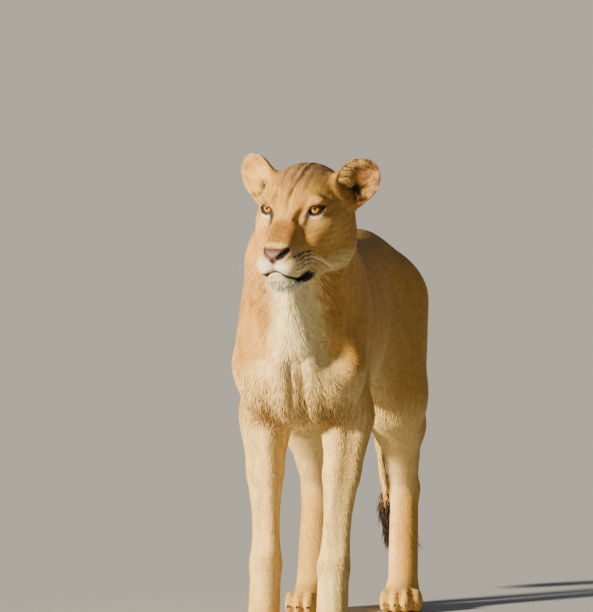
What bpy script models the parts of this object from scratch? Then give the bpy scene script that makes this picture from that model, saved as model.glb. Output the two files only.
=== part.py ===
"""A lioness standing still, life size, with her head turned a little to her right.

She faces -Y, her left side is +X and +Z is up. Her four paw soles are flat at z = 0 and the origin is under
the middle of her bounding box. The whole animal is one soft form, written as functions that are negative
inside it: muscles and bones are ellipsoids, round cones and rounded boxes that flow into each other.
Blender's OpenVDB reads the surface off that form, and prisms then cut it into the pieces that a person
would name, 0.3 mm apart.
"""

import math

import bpy
import bmesh
import numpy as np
import openvdb
from mathutils import Matrix

# ---- driving sizes, metres and degrees ----
WITHERS = 0.885               # height of the back over the shoulders
HEAD_AT = (0.017, -0.560, 0.957)   # the head's origin, just under the middle between the eyes
HEAD_YAW, HEAD_PITCH = 12.0, 14.0  # turned to her right, nose lowered
EYE_BALL = (0.0505, 0.0085, 0.0085)   # left eyeball in the head's own axes
EYE_RADIUS = 0.0175
EYE_OPENING = (0.0165, 0.0065, 0.0080)  # half width, height over and under the middle
EYE_TOE_OUT, EYE_SLANT = 20.0, 6.0     # degrees outwards, outer corner raised
EAR_ROOT = (0.082, 0.088, 0.016)
EAR_UP = (0.690, 0.400, 0.600)          # from the root to the ear's tip
EAR_FACING = (0.42, -0.87, 0.12)        # where the hollow looks
EAR_CUT = 0.024                         # the ear's cut above its root
EAR_RISE = 0.006                        # her right ear stands this much higher
CHEST_WIDTH, CHEST_LENGTH, CHEST_DEPTH = 0.256, 0.700, 0.392
SHOULDER_X, ELBOW_X, HIP_X = 0.084, 0.086, 0.078
ELBOW_Z, WRIST_Z, HOCK_Z, PAW_TOP_Z = 0.505, 0.185, 0.270, 0.078
FORE_CUT_Z = 0.470             # the forelegs' cut, under the breast
FORE_PAW, HIND_PAW = (0.116, 0.156), (0.104, 0.146)        # width and length
FORE_PAWS = {1: (0.066, -0.350), -1: (-0.086, -0.306)}     # side: x, y
HIND_PAWS = {1: (0.098, 0.490), -1: (-0.098, 0.415)}
TAIL_CURVE = ((0, 0.555, 0.790), (0, 0.72, 0.79), (0, 0.64, 0.34), (0.045, 0.775, 0.165))
TAIL_ROOT_RADIUS, TAIL_RADIUS, TUFT_RADIUS = 0.036, 0.015, 0.028
TUFT_CUT_Z = 0.225
GAP = 0.0003                  # left between touching pieces
HEAD_STEP, BODY_STEP = 0.004, 0.008
HEAD_TRIANGLES, BODY_TRIANGLES = 2700, 3300

COAT = ((0.60, 0.40, 0.21, 1.0), 0.85)
PALE_COAT = ((0.78, 0.66, 0.48, 1.0), 0.88)
DARK_COAT = ((0.055, 0.035, 0.022, 1.0), 0.85)
EAR_COAT = ((0.64, 0.44, 0.24, 1.0), 0.85)
NOSE_SKIN = ((0.23, 0.10, 0.085, 1.0), 0.45)
EYE_AMBER = ((0.70, 0.27, 0.03, 1.0), 0.12)


# ---- the soft form ----
def blend(a, b, k):
    """Union of two forms, the crease between them filled over a width of k."""
    h = np.maximum(k - np.abs(a - b), 0.0) / k
    return np.minimum(a, b) - h * h * k * 0.25


def carve(a, b, k):
    """Form a with form b taken away, the edge rounded over k."""
    return -blend(-a, b, k)


def turned(pitch=0.0, yaw=0.0):
    """Axes whose front is tipped down by pitch degrees and turned towards -X by yaw degrees."""
    a, b = math.radians(pitch), math.radians(yaw)
    tip = np.array([[1, 0, 0], [0, math.cos(a), -math.sin(a)], [0, math.sin(a), math.cos(a)]])
    turn = np.array([[math.cos(b), math.sin(b), 0], [-math.sin(b), math.cos(b), 0], [0, 0, 1]])
    return turn @ tip


def rolled(yaw, roll):
    """Axes turned towards -X by yaw degrees, the +X end raised by roll degrees."""
    c = math.radians(roll)
    lift = np.array([[math.cos(c), 0, -math.sin(c)], [0, 1, 0], [math.sin(c), 0, math.cos(c)]])
    return turned(0, yaw) @ lift


def ellipsoid(p, centre, radii, axes=None):
    q = p - np.asarray(centre)
    if axes is not None:
        q = q @ axes
    r = np.asarray(radii)
    near = np.linalg.norm(q / r, axis=-1)
    slope = np.linalg.norm(q / (r * r), axis=-1)
    return near * (near - 1.0) / np.maximum(slope, 1e-9)


def cone(p, a, b, ra, rb):
    """Round cone: a ball of ra at a swept to a ball of rb at b."""
    a, b = np.asarray(a, float), np.asarray(b, float)
    length = float(np.linalg.norm(b - a))
    along = (p - a) @ ((b - a) / length)
    across = np.sqrt(np.maximum(((p - a) ** 2).sum(-1) - along ** 2, 0.0))
    s = (ra - rb) / length
    c = math.sqrt(max(1 - s * s, 1e-6))
    side = along * c - across * s
    d = across * c + along * s - ra
    d = np.where(side < 0, np.hypot(across, along) - ra, d)
    return np.where(side > length * c, np.hypot(across, along - length) - rb, d)


def limb(p, stations, k):
    """Round cones through the (point, radius) stations."""
    d = None
    for (a, ra), (b, rb) in zip(stations[:-1], stations[1:]):
        piece = cone(p, a, b, ra, rb)
        d = piece if d is None else blend(d, piece, k)
    return d


def slab(p, centre, half, rounding, axes):
    """Box with rounded edges."""
    q = np.abs((p - np.asarray(centre)) @ axes) - (np.asarray(half) - rounding)
    return np.linalg.norm(np.maximum(q, 0.0), axis=-1) + np.minimum(q.max(-1), 0.0) - rounding


def both_sides(q, soft=0.004):
    """The point folded onto the left half, with a soft crease on the midline."""
    m = q.copy()
    m[..., 0] = np.sqrt(q[..., 0] ** 2 + soft * soft) - soft * 0.2
    return m


def to_head(p):
    return (p - np.asarray(HEAD_AT)) @ HEAD_AXES


def from_head(q):
    return np.asarray(q) @ HEAD_AXES.T + np.asarray(HEAD_AT)


def ear_axes():
    """Columns: across the ear, where it faces, up to its tip."""
    up = np.array(EAR_UP) / np.linalg.norm(EAR_UP)
    facing = np.array(EAR_FACING) - (np.array(EAR_FACING) @ up) * up
    facing /= np.linalg.norm(facing)
    return np.stack([np.cross(facing, up), facing, up], axis=1)


HEAD_AXES = turned(HEAD_PITCH, HEAD_YAW)
EAR_AXES = ear_axes()


def in_ear(across, facing, up):
    return np.array(EAR_ROOT) + EAR_AXES @ (across, facing, up)


def ear_side(q, m):
    """Folded points as the ears see them: her right ear stands a little higher."""
    moved = m.copy()
    moved[..., 2] -= EAR_RISE * np.clip((-q[..., 0] - 0.030) / 0.030, 0.0, 1.0)
    return moved


def head(p):
    """Skull, cheeks, jaw muscles, nose bridge, muzzle, chin, brows, eye mounds and ears."""
    q = to_head(p)
    m = both_sides(q)
    d = ellipsoid(q, (0, 0.086, -0.008), (0.083, 0.092, 0.087))
    d = blend(d, ellipsoid(q, (0, 0.032, 0.003), (0.068, 0.058, 0.044)), 0.03)
    d = blend(d, ellipsoid(m, (0.056, 0.060, -0.038), (0.0425, 0.066, 0.046)), 0.03)
    d = blend(d, ellipsoid(m, (0.050, 0.074, -0.084), (0.046, 0.062, 0.048)), 0.03)
    d = blend(d, slab(q, (0, -0.056, -0.045), (0.032, 0.076, 0.036), 0.020, turned(29)), 0.022)
    d = blend(d, slab(q, (0, -0.063, -0.082), (0.044, 0.062, 0.038), 0.034, turned(10)), 0.022)
    d = blend(d, ellipsoid(m, (0.038, -0.010, -0.050), (0.038, 0.056, 0.034), turned(24, 12)), 0.024)
    d = blend(d, ellipsoid(m, (0.021, -0.098, -0.080), (0.0275, 0.034, 0.026)), 0.012)
    d = blend(d, cone(m, (0.017, -0.062, -0.111), (0.046, 0.060, -0.092), 0.027, 0.046), 0.02)
    d = blend(d, ellipsoid(q, (0, -0.082, -0.113), (0.032, 0.036, 0.026)), 0.012)
    d = blend(d, ellipsoid(m, EYE_BALL, (0.0225, 0.0215, 0.0205)), 0.012)
    d = blend(d, ellipsoid(m, (0.047, 0.003, 0.027), (0.027, 0.015, 0.009), rolled(24, 5)), 0.014)
    d = blend(d, slab(q, (0, -0.117, -0.060), (0.029, 0.016, 0.013), 0.012, turned(20)), 0.006)
    m = ear_side(q, m)
    leaf = ellipsoid(m, in_ear(0, 0.004, 0.040), (0.050, 0.026, 0.057), EAR_AXES)
    stalk = ellipsoid(m, in_ear(0, 0, 0.006), (0.040, 0.026, 0.034), EAR_AXES)
    hollow = ellipsoid(m, in_ear(0, 0.022, 0.042), (0.043, 0.030, 0.050), EAR_AXES)
    d = blend(d, blend(leaf, stalk, 0.02), 0.016)
    return carve(d, hollow, 0.006)


def fore_leg(p, side):
    """Shoulder blade, shoulder point, upper arm, forearm, wrist and pastern."""
    x, y = FORE_PAWS[side]
    point, elbow = (side * SHOULDER_X, -0.370, 0.620), (side * ELBOW_X, -0.262, ELBOW_Z)
    wrist, knuckle = (x, y + 0.035, WRIST_Z), (x, y + 0.004, 0.050)
    fore = tuple(0.62 * np.array(elbow) + 0.38 * np.array(wrist) - (0, 0.012, 0))
    d = cone(p, (side * 0.070, -0.235, 0.810), point, 0.038, 0.050)
    d = blend(d, cone(p, point, elbow, 0.050, 0.052), 0.04)
    d = blend(d, limb(p, [(elbow, 0.050), (fore, 0.0425), (wrist, 0.036), (knuckle, 0.038)], 0.014), 0.05)
    d = blend(d, ellipsoid(p, (side * ELBOW_X, -0.268, 0.462), (0.040, 0.056, 0.105), turned(-8)), 0.03)
    d = blend(d, cone(p, (side * 0.080, -0.195, 0.650), (side * ELBOW_X, -0.222, 0.525), 0.060, 0.040), 0.05)
    d = blend(d, ellipsoid(p, (side * 0.078, -0.300, 0.690), (0.052, 0.105, 0.180), turned(-28)), 0.05)
    return blend(d, ellipsoid(p, (x, y + 0.052, WRIST_Z - 0.035), (0.022, 0.018, 0.022)), 0.02)


def hind_leg(p, side):
    """Thigh, stifle, second thigh, hock and hind pastern."""
    x, y = HIND_PAWS[side]
    lean = (y - 0.435) * 0.35
    knee, hock = (side * 0.103, 0.310 + lean, 0.500), (side * 0.094, y + 0.078, HOCK_Z)
    calf = tuple(0.55 * np.array(knee) + 0.45 * np.array(hock) + (0, 0.016, 0.024))
    d = cone(p, (side * HIP_X, 0.440, 0.710), knee, 0.088, 0.066)
    d = blend(d, ellipsoid(p, (side * 0.086, 0.455, 0.600), (0.058, 0.125, 0.185), turned(-10)), 0.06)
    d = blend(d, ellipsoid(p, (side * 0.092, 0.375, 0.560), (0.054, 0.125, 0.110), turned(20)), 0.05)
    d = blend(d, ellipsoid(p, (side * 0.070, 0.265, 0.600), (0.040, 0.110, 0.080), turned(30)), 0.08)
    d = blend(d, limb(p, [(knee, 0.064), (calf, 0.056), (hock, 0.032)], 0.03), 0.06)
    return blend(d, cone(p, hock, (x, y + 0.026, 0.060), 0.035, 0.037), 0.025)


def paw(p, at, size, splay):
    """Pad and four toes; the middle two reach further forward."""
    width, length = size
    q = (p - np.array([at[0], at[1], 0.0])) @ turned(0, -splay)
    d = ellipsoid(q, (0, 0.008, 0.028), (width * 0.42, length * 0.45, 0.044))
    for place, reach in ((-1.5, 0.185), (-0.5, 0.285), (0.5, 0.285), (1.5, 0.185)):
        centre = (place * width * 0.235, -length * reach, 0.024)
        d = blend(d, ellipsoid(q, centre, (width * 0.152, length * 0.22, 0.032)), 0.007)
    return d


def neck(p):
    nape, throat = tuple(from_head((0, 0.100, -0.030))), tuple(from_head((0, 0.030, -0.095)))
    d = limb(p, [((0, -0.23, 0.760), 0.118), ((0.003, -0.355, 0.835), 0.110), (nape, 0.090)], 0.06)
    return blend(d, cone(p, (0, -0.360, 0.700), throat, 0.098, 0.066), 0.07)


def trunk(p):
    """Rib cage, withers, breast, loin and rump."""
    half_chest = (CHEST_WIDTH / 2, CHEST_LENGTH / 2, CHEST_DEPTH / 2)
    d = ellipsoid(p, (0, -0.100, 0.675), half_chest)
    d = blend(d, ellipsoid(p, (0, -0.225, WITHERS - 0.090), (0.072, 0.160, 0.088)), 0.06)
    d = blend(d, ellipsoid(p, (0, -0.340, 0.625), (0.098, 0.120, 0.140)), 0.06)
    d = blend(d, ellipsoid(p, (0, 0.190, 0.700), (0.120, 0.340, 0.165)), 0.08)
    return blend(d, ellipsoid(p, (0, 0.430, 0.731), (0.113, 0.170, 0.139)), 0.06)


def tail_line(count=22):
    """Points along the tail's Bezier curve and the tail's radius at each."""
    t = np.linspace(0, 1, count)[:, None]
    a, b, c, d = (np.array(v, float) for v in TAIL_CURVE)
    line = (1 - t) ** 3 * a + 3 * t * (1 - t) ** 2 * b + 3 * t * t * (1 - t) * c + t ** 3 * d
    return line, TAIL_RADIUS + (TAIL_ROOT_RADIUS - TAIL_RADIUS) * (1 - t[:, 0]) ** 2.2


def tail(p):
    line, radii = tail_line()
    d = limb(p, list(zip(map(tuple, line), radii)), 0.003)
    tip = line[-1] + 0.02 * (line[-1] - line[-2]) / np.linalg.norm(line[-1] - line[-2])
    return blend(d, cone(p, line[-3], tip, 0.020, TUFT_RADIUS), 0.02)


def lioness(p):
    """The whole animal: a distance in metres, negative inside."""
    d = blend(blend(trunk(p), neck(p), 0.07), head(p), 0.045)
    for side in (1, -1):
        d = blend(d, blend(fore_leg(p, side), paw(p, FORE_PAWS[side], FORE_PAW, side * 4), 0.02), 0.035)
        d = blend(d, blend(hind_leg(p, side), paw(p, HIND_PAWS[side], HIND_PAW, side * 6), 0.02), 0.045)
    return blend(d, tail(p), 0.03)


# ---- from the form to meshes ----
def collection(name):
    group = bpy.data.collections.new(name)
    bpy.context.scene.collection.children.link(group)
    return group


def surface(name, form, low, high, step, triangles):
    """The surface of a form inside a box, as a closed mesh of about this many triangles."""
    low, high = np.asarray(low), np.asarray(high)
    counts = np.ceil((high - low) / step).astype(int) + 1
    axes = [low[i] + step * np.arange(counts[i]) for i in range(3)]
    values = np.empty(counts, np.float32)
    for start in range(0, counts[0], 8):
        x, y, z = np.meshgrid(axes[0][start:start + 8], axes[1], axes[2], indexing="ij")
        values[start:start + 8] = form(np.stack([x, y, z], axis=-1))
    grid = openvdb.FloatGrid(1.0)
    grid.copyFromArray(values)
    points, quads = grid.convertToQuads(0.0)
    mesh = bpy.data.meshes.new(name)
    mesh.from_pydata((points * step + low).tolist(), [], quads[:, ::-1].tolist())
    piece = bpy.data.objects.new(name, mesh)
    CUTTERS.objects.link(piece)
    fewer = piece.modifiers.new("fewer", "DECIMATE")
    fewer.ratio = triangles / (2.0 * len(quads))
    apply_modifiers(piece)
    return piece


def apply_modifiers(piece):
    """Gives the object its own evaluated mesh and drops its modifiers."""
    bpy.context.view_layer.update()
    graph = bpy.context.evaluated_depsgraph_get()
    mesh = bpy.data.meshes.new_from_object(piece.evaluated_get(graph))
    piece.modifiers.clear()
    old, piece.data = piece.data, mesh
    bpy.data.meshes.remove(old)
    mesh.name = piece.name


def as_cutter(name, shape, placed=None):
    """Object of the cutters' collection from a bmesh, in the head's axes if placed is given."""
    if placed is not None:
        shape.transform(placed)
    bmesh.ops.recalc_face_normals(shape, faces=shape.faces)
    mesh = bpy.data.meshes.new(name)
    shape.to_mesh(mesh)
    shape.free()
    cutter = bpy.data.objects.new(name, mesh)
    CUTTERS.objects.link(cutter)
    cutter.display_type = "WIRE"
    cutter.hide_render = True
    return cutter


def matrix(axes, at):
    """4x4 matrix whose columns are these axes and whose place is at."""
    placed = Matrix.Identity(4)
    for row in range(3):
        for column in range(3):
            placed[row][column] = float(axes[row][column])
        placed[row][3] = float(at[row])
    return placed


def inset(outline, gap):
    """A closed (y, z) outline, given anticlockwise, with every side moved inwards by gap."""
    sides = []
    for (y0, z0), (y1, z1) in zip(outline, outline[1:] + outline[:1]):
        length = math.hypot(y1 - y0, z1 - z0)
        normal = (-(z1 - z0) / length, (y1 - y0) / length)
        sides.append((normal, normal[0] * y0 + normal[1] * z0 + gap))
    moved = []
    for (n0, c0), (n1, c1) in zip(sides[-1:] + sides[:-1], sides):
        det = n0[0] * n1[1] - n0[1] * n1[0]
        moved.append(((c0 * n1[1] - c1 * n0[1]) / det, (n0[0] * c1 - n1[0] * c0) / det))
    return moved


def prism(name, outline, x0, x1, placed=None, gap=0.0):
    """Solid between x0 and x1 with this (y, z) outline, all its sides moved inwards by gap."""
    shape = bmesh.new()
    outline = inset(outline, gap)
    rings = [[shape.verts.new((x, y, z)) for y, z in outline] for x in (x0 + gap, x1 - gap)]
    shape.faces.new(rings[0])
    shape.faces.new(rings[1])
    for i in range(len(outline)):
        j = (i + 1) % len(outline)
        shape.faces.new((rings[0][i], rings[0][j], rings[1][j], rings[1][i]))
    return as_cutter(name, shape, placed)


def boolean(piece, operation, cutter):
    cut = piece.modifiers.new(cutter.name, "BOOLEAN")
    cut.operation = operation
    cut.object = cutter
    cut.solver = "EXACT"
    apply_modifiers(piece)


def split(whole, name, outline, x0, x1, placed=None):
    """Cuts the piece inside a prism off the whole, and returns it; the two stay GAP apart."""
    piece = bpy.data.objects.new(name, whole.data.copy())
    CUTTERS.objects.link(piece)
    boolean(piece, "INTERSECT", prism(name + "_inner", outline, x0, x1, placed, GAP))
    boolean(whole, "DIFFERENCE", prism(name + "_outer", outline, x0, x1, placed))
    return piece


def finish(piece, name, colour, roughness):
    """Names the piece, shades it smooth, gives it its material and moves it to the lioness's collection."""
    piece.name = name
    piece.data.name = name
    piece.data.shade_smooth()
    piece.data.set_sharp_from_angle(angle=math.radians(50))
    material = bpy.data.materials.new(name)
    material.use_nodes = True
    shader = material.node_tree.nodes["Principled BSDF"]
    shader.inputs["Base Color"].default_value = colour
    shader.inputs["Roughness"].default_value = roughness
    shader.inputs["Metallic"].default_value = 0.0
    piece.data.materials.clear()
    piece.data.materials.append(material)
    CUTTERS.objects.unlink(piece)
    PARTS.objects.link(piece)


def eye(side):
    """An eyeball, its socket's hollow and the almond opening between the lids in front of it."""
    centre = from_head((side * EYE_BALL[0], EYE_BALL[1], EYE_BALL[2]))
    shapes = []
    for radius in (EYE_RADIUS, EYE_RADIUS + GAP):
        ball = bmesh.new()
        bmesh.ops.create_uvsphere(ball, u_segments=18, v_segments=9, radius=radius)
        shapes.append(as_cutter("ball", ball, Matrix.Translation(centre)))
    half, over, under = EYE_OPENING
    slant = math.radians(EYE_SLANT)
    almond = []
    for angle in np.linspace(0, 2 * math.pi, 16, endpoint=False):
        rise = math.sin(angle)
        u = half * math.cos(angle)
        v = (over if rise > 0 else under) * abs(rise) ** 1.3 * np.sign(rise)
        across = side * (u * math.cos(slant) - v * math.sin(slant))
        almond.append((across, u * math.sin(slant) + v * math.cos(slant)))
    opening = bmesh.new()
    rings = []
    for depth in (-0.040, -0.004):
        rings.append([opening.verts.new((across, depth, up)) for across, up in almond])
    opening.faces.new(rings[0])
    opening.faces.new(rings[1])
    for i in range(len(almond)):
        j = (i + 1) % len(almond)
        opening.faces.new((rings[0][i], rings[0][j], rings[1][j], rings[1][i]))
    look = HEAD_AXES @ turned(0, -side * EYE_TOE_OUT)
    return shapes[0], shapes[1], as_cutter("opening", opening, matrix(look, centre))


# ---- the animal in pieces ----
for old in list(bpy.data.objects):
    bpy.data.objects.remove(old, do_unlink=True)
PARTS = collection("lioness")
CUTTERS = collection("cutters")
CUTTERS.hide_render = True
FAR = 0.40

# (y, z) outlines of the cuts, anticlockwise, in the animal's own axes
GROUND_CUT = [(-1.0, -0.2), (1.2, -0.2), (1.2, 0.0), (-1.0, 0.0)]
NECK_CUT = [(-0.609, 0.464), (0.077, 1.258), (-0.90, 1.258), (-0.90, 0.464)]
TAIL_CUT = [(0.592, 0.95), (0.592, 0.76), (0.634, 0.60), (0.634, 0.05), (0.95, 0.05), (0.95, 0.95)]
TUFT_CUT = [(0.60, 0.0), (0.98, 0.0), (0.98, TUFT_CUT_Z), (0.60, TUFT_CUT_Z)]
FORE_PAW_CUT = [(-0.55, -0.1), (-0.20, -0.1), (-0.20, PAW_TOP_Z), (-0.55, PAW_TOP_Z)]
FORE_LEG_CUT = [(-0.55, -0.1), (-0.10, -0.1), (-0.10, FORE_CUT_Z), (-0.55, FORE_CUT_Z)]
HIND_PAW_CUT = [(0.20, -0.1), (0.62, -0.1), (0.62, PAW_TOP_Z), (0.20, PAW_TOP_Z)]
HIND_LEG_CUT = [(0.20, -0.1), (0.632, -0.1), (0.632, 0.600), (0.33, 0.505), (0.20, 0.460)]
# and in the head's axes
HEAD_CUT = [(-0.139, -0.454), (0.455, 0.470), (-0.40, 0.470)]
NOSE_CUT = [(-0.17, -0.076), (-0.1215, -0.076), (-0.1130, -0.0400), (-0.17, -0.0400)]
JAW_CUT = [(-0.17, -0.20), (-0.035, -0.20), (-0.035, -0.1058), (-0.17, -0.0923)]
EAR_BOX = [(-0.06, EAR_CUT), (0.07, EAR_CUT), (0.07, 0.13), (-0.06, 0.13)]
IN_HEAD = matrix(HEAD_AXES, HEAD_AT)


def front(p):
    """Trunk, neck and head, closed a little behind the head's cut."""
    q = to_head(p)
    behind = (q[..., 1] - 0.185) * 0.84 - (q[..., 2] - 0.05) * 0.54 - 0.030
    return np.maximum(blend(blend(trunk(p), neck(p), 0.07), head(p), 0.045), behind)


def in_ear_frame(side):
    """The ear's axes in the animal's, at the root of the ear on this side."""
    axes = EAR_AXES.copy()
    if side < 0:
        axes[0] *= -1.0
        axes[:, 0] *= -1.0
    rise = EAR_RISE if side < 0 else 0.0
    return matrix(HEAD_AXES @ axes, from_head((side * EAR_ROOT[0], EAR_ROOT[1], EAR_ROOT[2] + rise)))


low, high = np.array(HEAD_AT) - (0.20, 0.20, 0.32), np.array(HEAD_AT) + (0.20, 0.30, 0.22)
skull = surface("head", front, low, high, HEAD_STEP, HEAD_TRIANGLES)
body = surface("trunk", lioness, (-0.24, -0.76, -0.03), (0.24, 0.92, 1.16), BODY_STEP, BODY_TRIANGLES)

boolean(skull, "INTERSECT", prism("head_inner", HEAD_CUT, -FAR, FAR, IN_HEAD, GAP))
boolean(body, "DIFFERENCE", prism("head_outer", HEAD_CUT, -FAR, FAR, IN_HEAD))
boolean(body, "DIFFERENCE", prism("ground", GROUND_CUT, -FAR, FAR))

for side, word in ((1, "left"), (-1, "right")):
    eyeball, socket, opening = eye(side)
    boolean(skull, "DIFFERENCE", socket)
    boolean(skull, "DIFFERENCE", opening)
    eyeball.hide_render = False
    eyeball.display_type = "TEXTURED"
    finish(eyeball, "eye_" + word, *EYE_AMBER)
    ear = split(skull, "ear_" + word, EAR_BOX, -0.07, 0.07, in_ear_frame(side))
    finish(ear, "ear_" + word, *EAR_COAT)
finish(split(skull, "nose", NOSE_CUT, -0.0265, 0.0265, IN_HEAD), "nose", *NOSE_SKIN)
finish(split(skull, "lower_jaw", JAW_CUT, -0.12, 0.12, IN_HEAD), "lower_jaw", *PALE_COAT)
finish(skull, "head", *COAT)

tail_piece = split(body, "tail", TAIL_CUT, -0.12, 0.16)
finish(split(tail_piece, "tail_tuft", TUFT_CUT, -0.12, 0.16), "tail_tuft", *DARK_COAT)
finish(tail_piece, "tail", *COAT)
for side, word in ((1, "left"), (-1, "right")):
    x0, x1 = (0.0, FAR) if side > 0 else (-FAR, 0.0)
    finish(split(body, "forepaw_" + word, FORE_PAW_CUT, x0, x1), "forepaw_" + word, *COAT)
    finish(split(body, "foreleg_" + word, FORE_LEG_CUT, x0, x1), "foreleg_" + word, *COAT)
    finish(split(body, "hindpaw_" + word, HIND_PAW_CUT, x0, x1), "hindpaw_" + word, *COAT)
    finish(split(body, "hindleg_" + word, HIND_LEG_CUT, x0, x1), "hindleg_" + word, *COAT)
finish(split(body, "neck", NECK_CUT, -FAR, FAR), "neck", *COAT)
finish(body, "trunk", *COAT)

# the origin goes under the middle of the bounding box
corners = np.array([piece.matrix_world @ v.co for piece in PARTS.objects for v in piece.data.vertices])
middle = (corners.min(axis=0) + corners.max(axis=0)) / 2
for piece in PARTS.objects:
    piece.data.transform(Matrix.Translation((-middle[0], -middle[1], 0.0)))
    piece.data.update()
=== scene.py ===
"""The looks of a life-size lioness who stands still and looks a little to her right.

Her flesh is one skin, read off a soft form of ellipsoids and round cones on a lattice that is fine over the
head and coarser over the body. Over it lies the coat: closed, spindle-shaped locks of hair that follow the
lie of the fur. The eyes, their lids, the whiskers and the claws are pieces of their own.
"""

import math

import bpy
import numpy as np
import openvdb
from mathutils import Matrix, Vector


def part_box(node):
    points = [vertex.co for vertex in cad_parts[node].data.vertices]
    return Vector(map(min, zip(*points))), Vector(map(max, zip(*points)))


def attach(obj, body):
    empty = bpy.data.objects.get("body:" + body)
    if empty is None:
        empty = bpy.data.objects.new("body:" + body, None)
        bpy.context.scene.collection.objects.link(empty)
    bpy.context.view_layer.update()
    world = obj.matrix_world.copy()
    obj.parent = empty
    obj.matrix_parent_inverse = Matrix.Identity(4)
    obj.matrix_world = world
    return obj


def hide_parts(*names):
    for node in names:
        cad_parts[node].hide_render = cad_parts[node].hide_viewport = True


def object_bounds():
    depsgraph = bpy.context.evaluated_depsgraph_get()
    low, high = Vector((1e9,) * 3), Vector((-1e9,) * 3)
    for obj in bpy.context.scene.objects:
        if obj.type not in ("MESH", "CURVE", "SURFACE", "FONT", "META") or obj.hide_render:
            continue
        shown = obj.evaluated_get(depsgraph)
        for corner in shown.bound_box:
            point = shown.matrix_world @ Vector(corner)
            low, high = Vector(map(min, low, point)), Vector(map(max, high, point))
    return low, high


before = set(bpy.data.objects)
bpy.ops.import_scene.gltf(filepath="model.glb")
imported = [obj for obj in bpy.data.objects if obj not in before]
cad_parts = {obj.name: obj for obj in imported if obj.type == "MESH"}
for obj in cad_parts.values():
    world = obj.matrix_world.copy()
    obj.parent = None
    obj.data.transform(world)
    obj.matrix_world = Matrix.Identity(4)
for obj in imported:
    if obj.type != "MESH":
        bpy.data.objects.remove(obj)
cad_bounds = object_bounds()

# ---- the form's driving sizes, metres and degrees ----
WITHERS = 0.885
HEAD_AT = (0.017, -0.560, 0.957)
HEAD_YAW, HEAD_PITCH = 12.0, 14.0
NOSE_TIP = (0, -0.125, -0.055)
EYE_BALL = (0.0505, 0.0085, 0.0085)
EYE_RADIUS = 0.0175
EYE_HALF, EYE_OVER, EYE_UNDER = 0.0165, 0.0062, 0.0085   # half width of the opening, height over and under
EYE_TOE_OUT, EYE_SLANT = 20.0, 6.0
EAR_ROOT = (0.082, 0.088, 0.016)
EAR_UP, EAR_FACING = (0.690, 0.400, 0.600), (0.42, -0.87, 0.12)
EAR_PIT = (-0.011, 0.002, 0.018)
EAR_RISE = 0.006                 # her right ear stands this much higher
CHEST_WIDTH, CHEST_LENGTH, CHEST_DEPTH = 0.256, 0.700, 0.392
SHOULDER_X, ELBOW_X, HIP_X = 0.084, 0.086, 0.078
ELBOW_Z, WRIST_Z, HOCK_Z = 0.505, 0.185, 0.270
FORE_PAW, HIND_PAW = (0.116, 0.156), (0.104, 0.146)
FORE_PAWS = {1: (0.066, -0.350), -1: (-0.086, -0.306)}
HIND_PAWS = {1: (0.098, 0.490), -1: (-0.098, 0.415)}
TAIL_CURVE = ((0, 0.555, 0.790), (0, 0.72, 0.79), (0, 0.64, 0.34), (0.045, 0.775, 0.165))
TAIL_ROOT_RADIUS, TAIL_RADIUS, TUFT_RADIUS = 0.036, 0.015, 0.028
LIP_CORNER, LIP_CORNER_SIZE = (0.045, -0.072, -0.1270), (0.026, 0.035, 0.0215)
FORE_SPLAY, HIND_SPLAY = 4, 6
TOES = ((-1.5, 0.185), (-0.5, 0.285), (0.5, 0.285), (1.5, 0.185))   # place in spacings, reach in paw lengths
TOE_SPACING = 0.235              # in paw widths
SIDES = ((1, "left"), (-1, "right"))
FLOOR_GAP = 0.0006               # the coat's least height over the floor
FAR_OFF = 1.0                    # a form's distance where it isn't worked out

# dark spots in four rows of five on each pad, further back and a little lower along the row
FIRST_WHISKER = 3                # the spots before this one in a row carry none
WHISKER_ROOTS = [
    (0.034 + 0.0046 * k + 0.001 * row, -0.110 + 0.0125 * k, -0.061 - 0.0088 * row - 0.0010 * k)
    for row in range(4) for k in range(5)]

# ---- the skin's lattice ----
FINE, COARSE = 0.0025, 0.0112    # steps over the head and over the body
FINE_REACH, EASE = 62, 14        # lattice steps of the fine part, and of the change
LATTICE_AT = np.array((0.017, -0.555, 0.925))
BLOCK = 4

# ---- colours, linear red, green and blue ----
TAWNY, SAND, CREAM = (0.53, 0.262, 0.048), (0.66, 0.372, 0.078), (0.88, 0.64, 0.240)
WHITE, RUST, BROWN = (0.94, 0.83, 0.62), (0.38, 0.145, 0.026), (0.15, 0.068, 0.028)
GOLD, INNER_EAR = (0.27, 0.105, 0.018), (0.42, 0.190, 0.040)
DARK, LEATHER, GREY = (0.022, 0.014, 0.011), (0.120, 0.050, 0.034), (0.26, 0.17, 0.09)
DARKEST, PALEST = 0.004, 0.95    # the coat's colours stay between these

# ---- the coat's numbers ----
LOCKS, COAT_PIECES = 226000, 7
SOFTNESS = 0.70                  # how far a lock is shaded like the skin under it
EAR_HAIRS = {1: 460, -1: 160}
CHIN_HAIRS, TUFT_HAIRS = 3000, 3200

# ---- camera and light: degrees from her front towards her left and over the floor, metres ----
CAMERA_AT, CAMERA_DISTANCE = (9.0, 4.0), 14.0
CAMERA_TARGET, CAMERA_VIEW = (0.0, -0.40, 0.75), 1.29744     # the view's height at the target
SENSOR = 36.0
KEY_AT, KEY_STRENGTH, KEY_SPREAD, KEY_COLOUR = (-50.0, 16.5), 14.0, 6.0, (1.0, 0.88, 0.64)
FILL_AT, FILL_STRENGTH, FILL_SPREAD, FILL_COLOUR = (60.0, 35.0), 0.15, 30.0, (0.68, 0.82, 1.0)
SURROUND, SURROUND_STRENGTH = (0.74, 0.85, 1.0, 1.0), 0.17
FLOOR_COLOUR, FLOOR_HALF = (0.36, 0.365, 0.37, 1.0), 200.0


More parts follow.
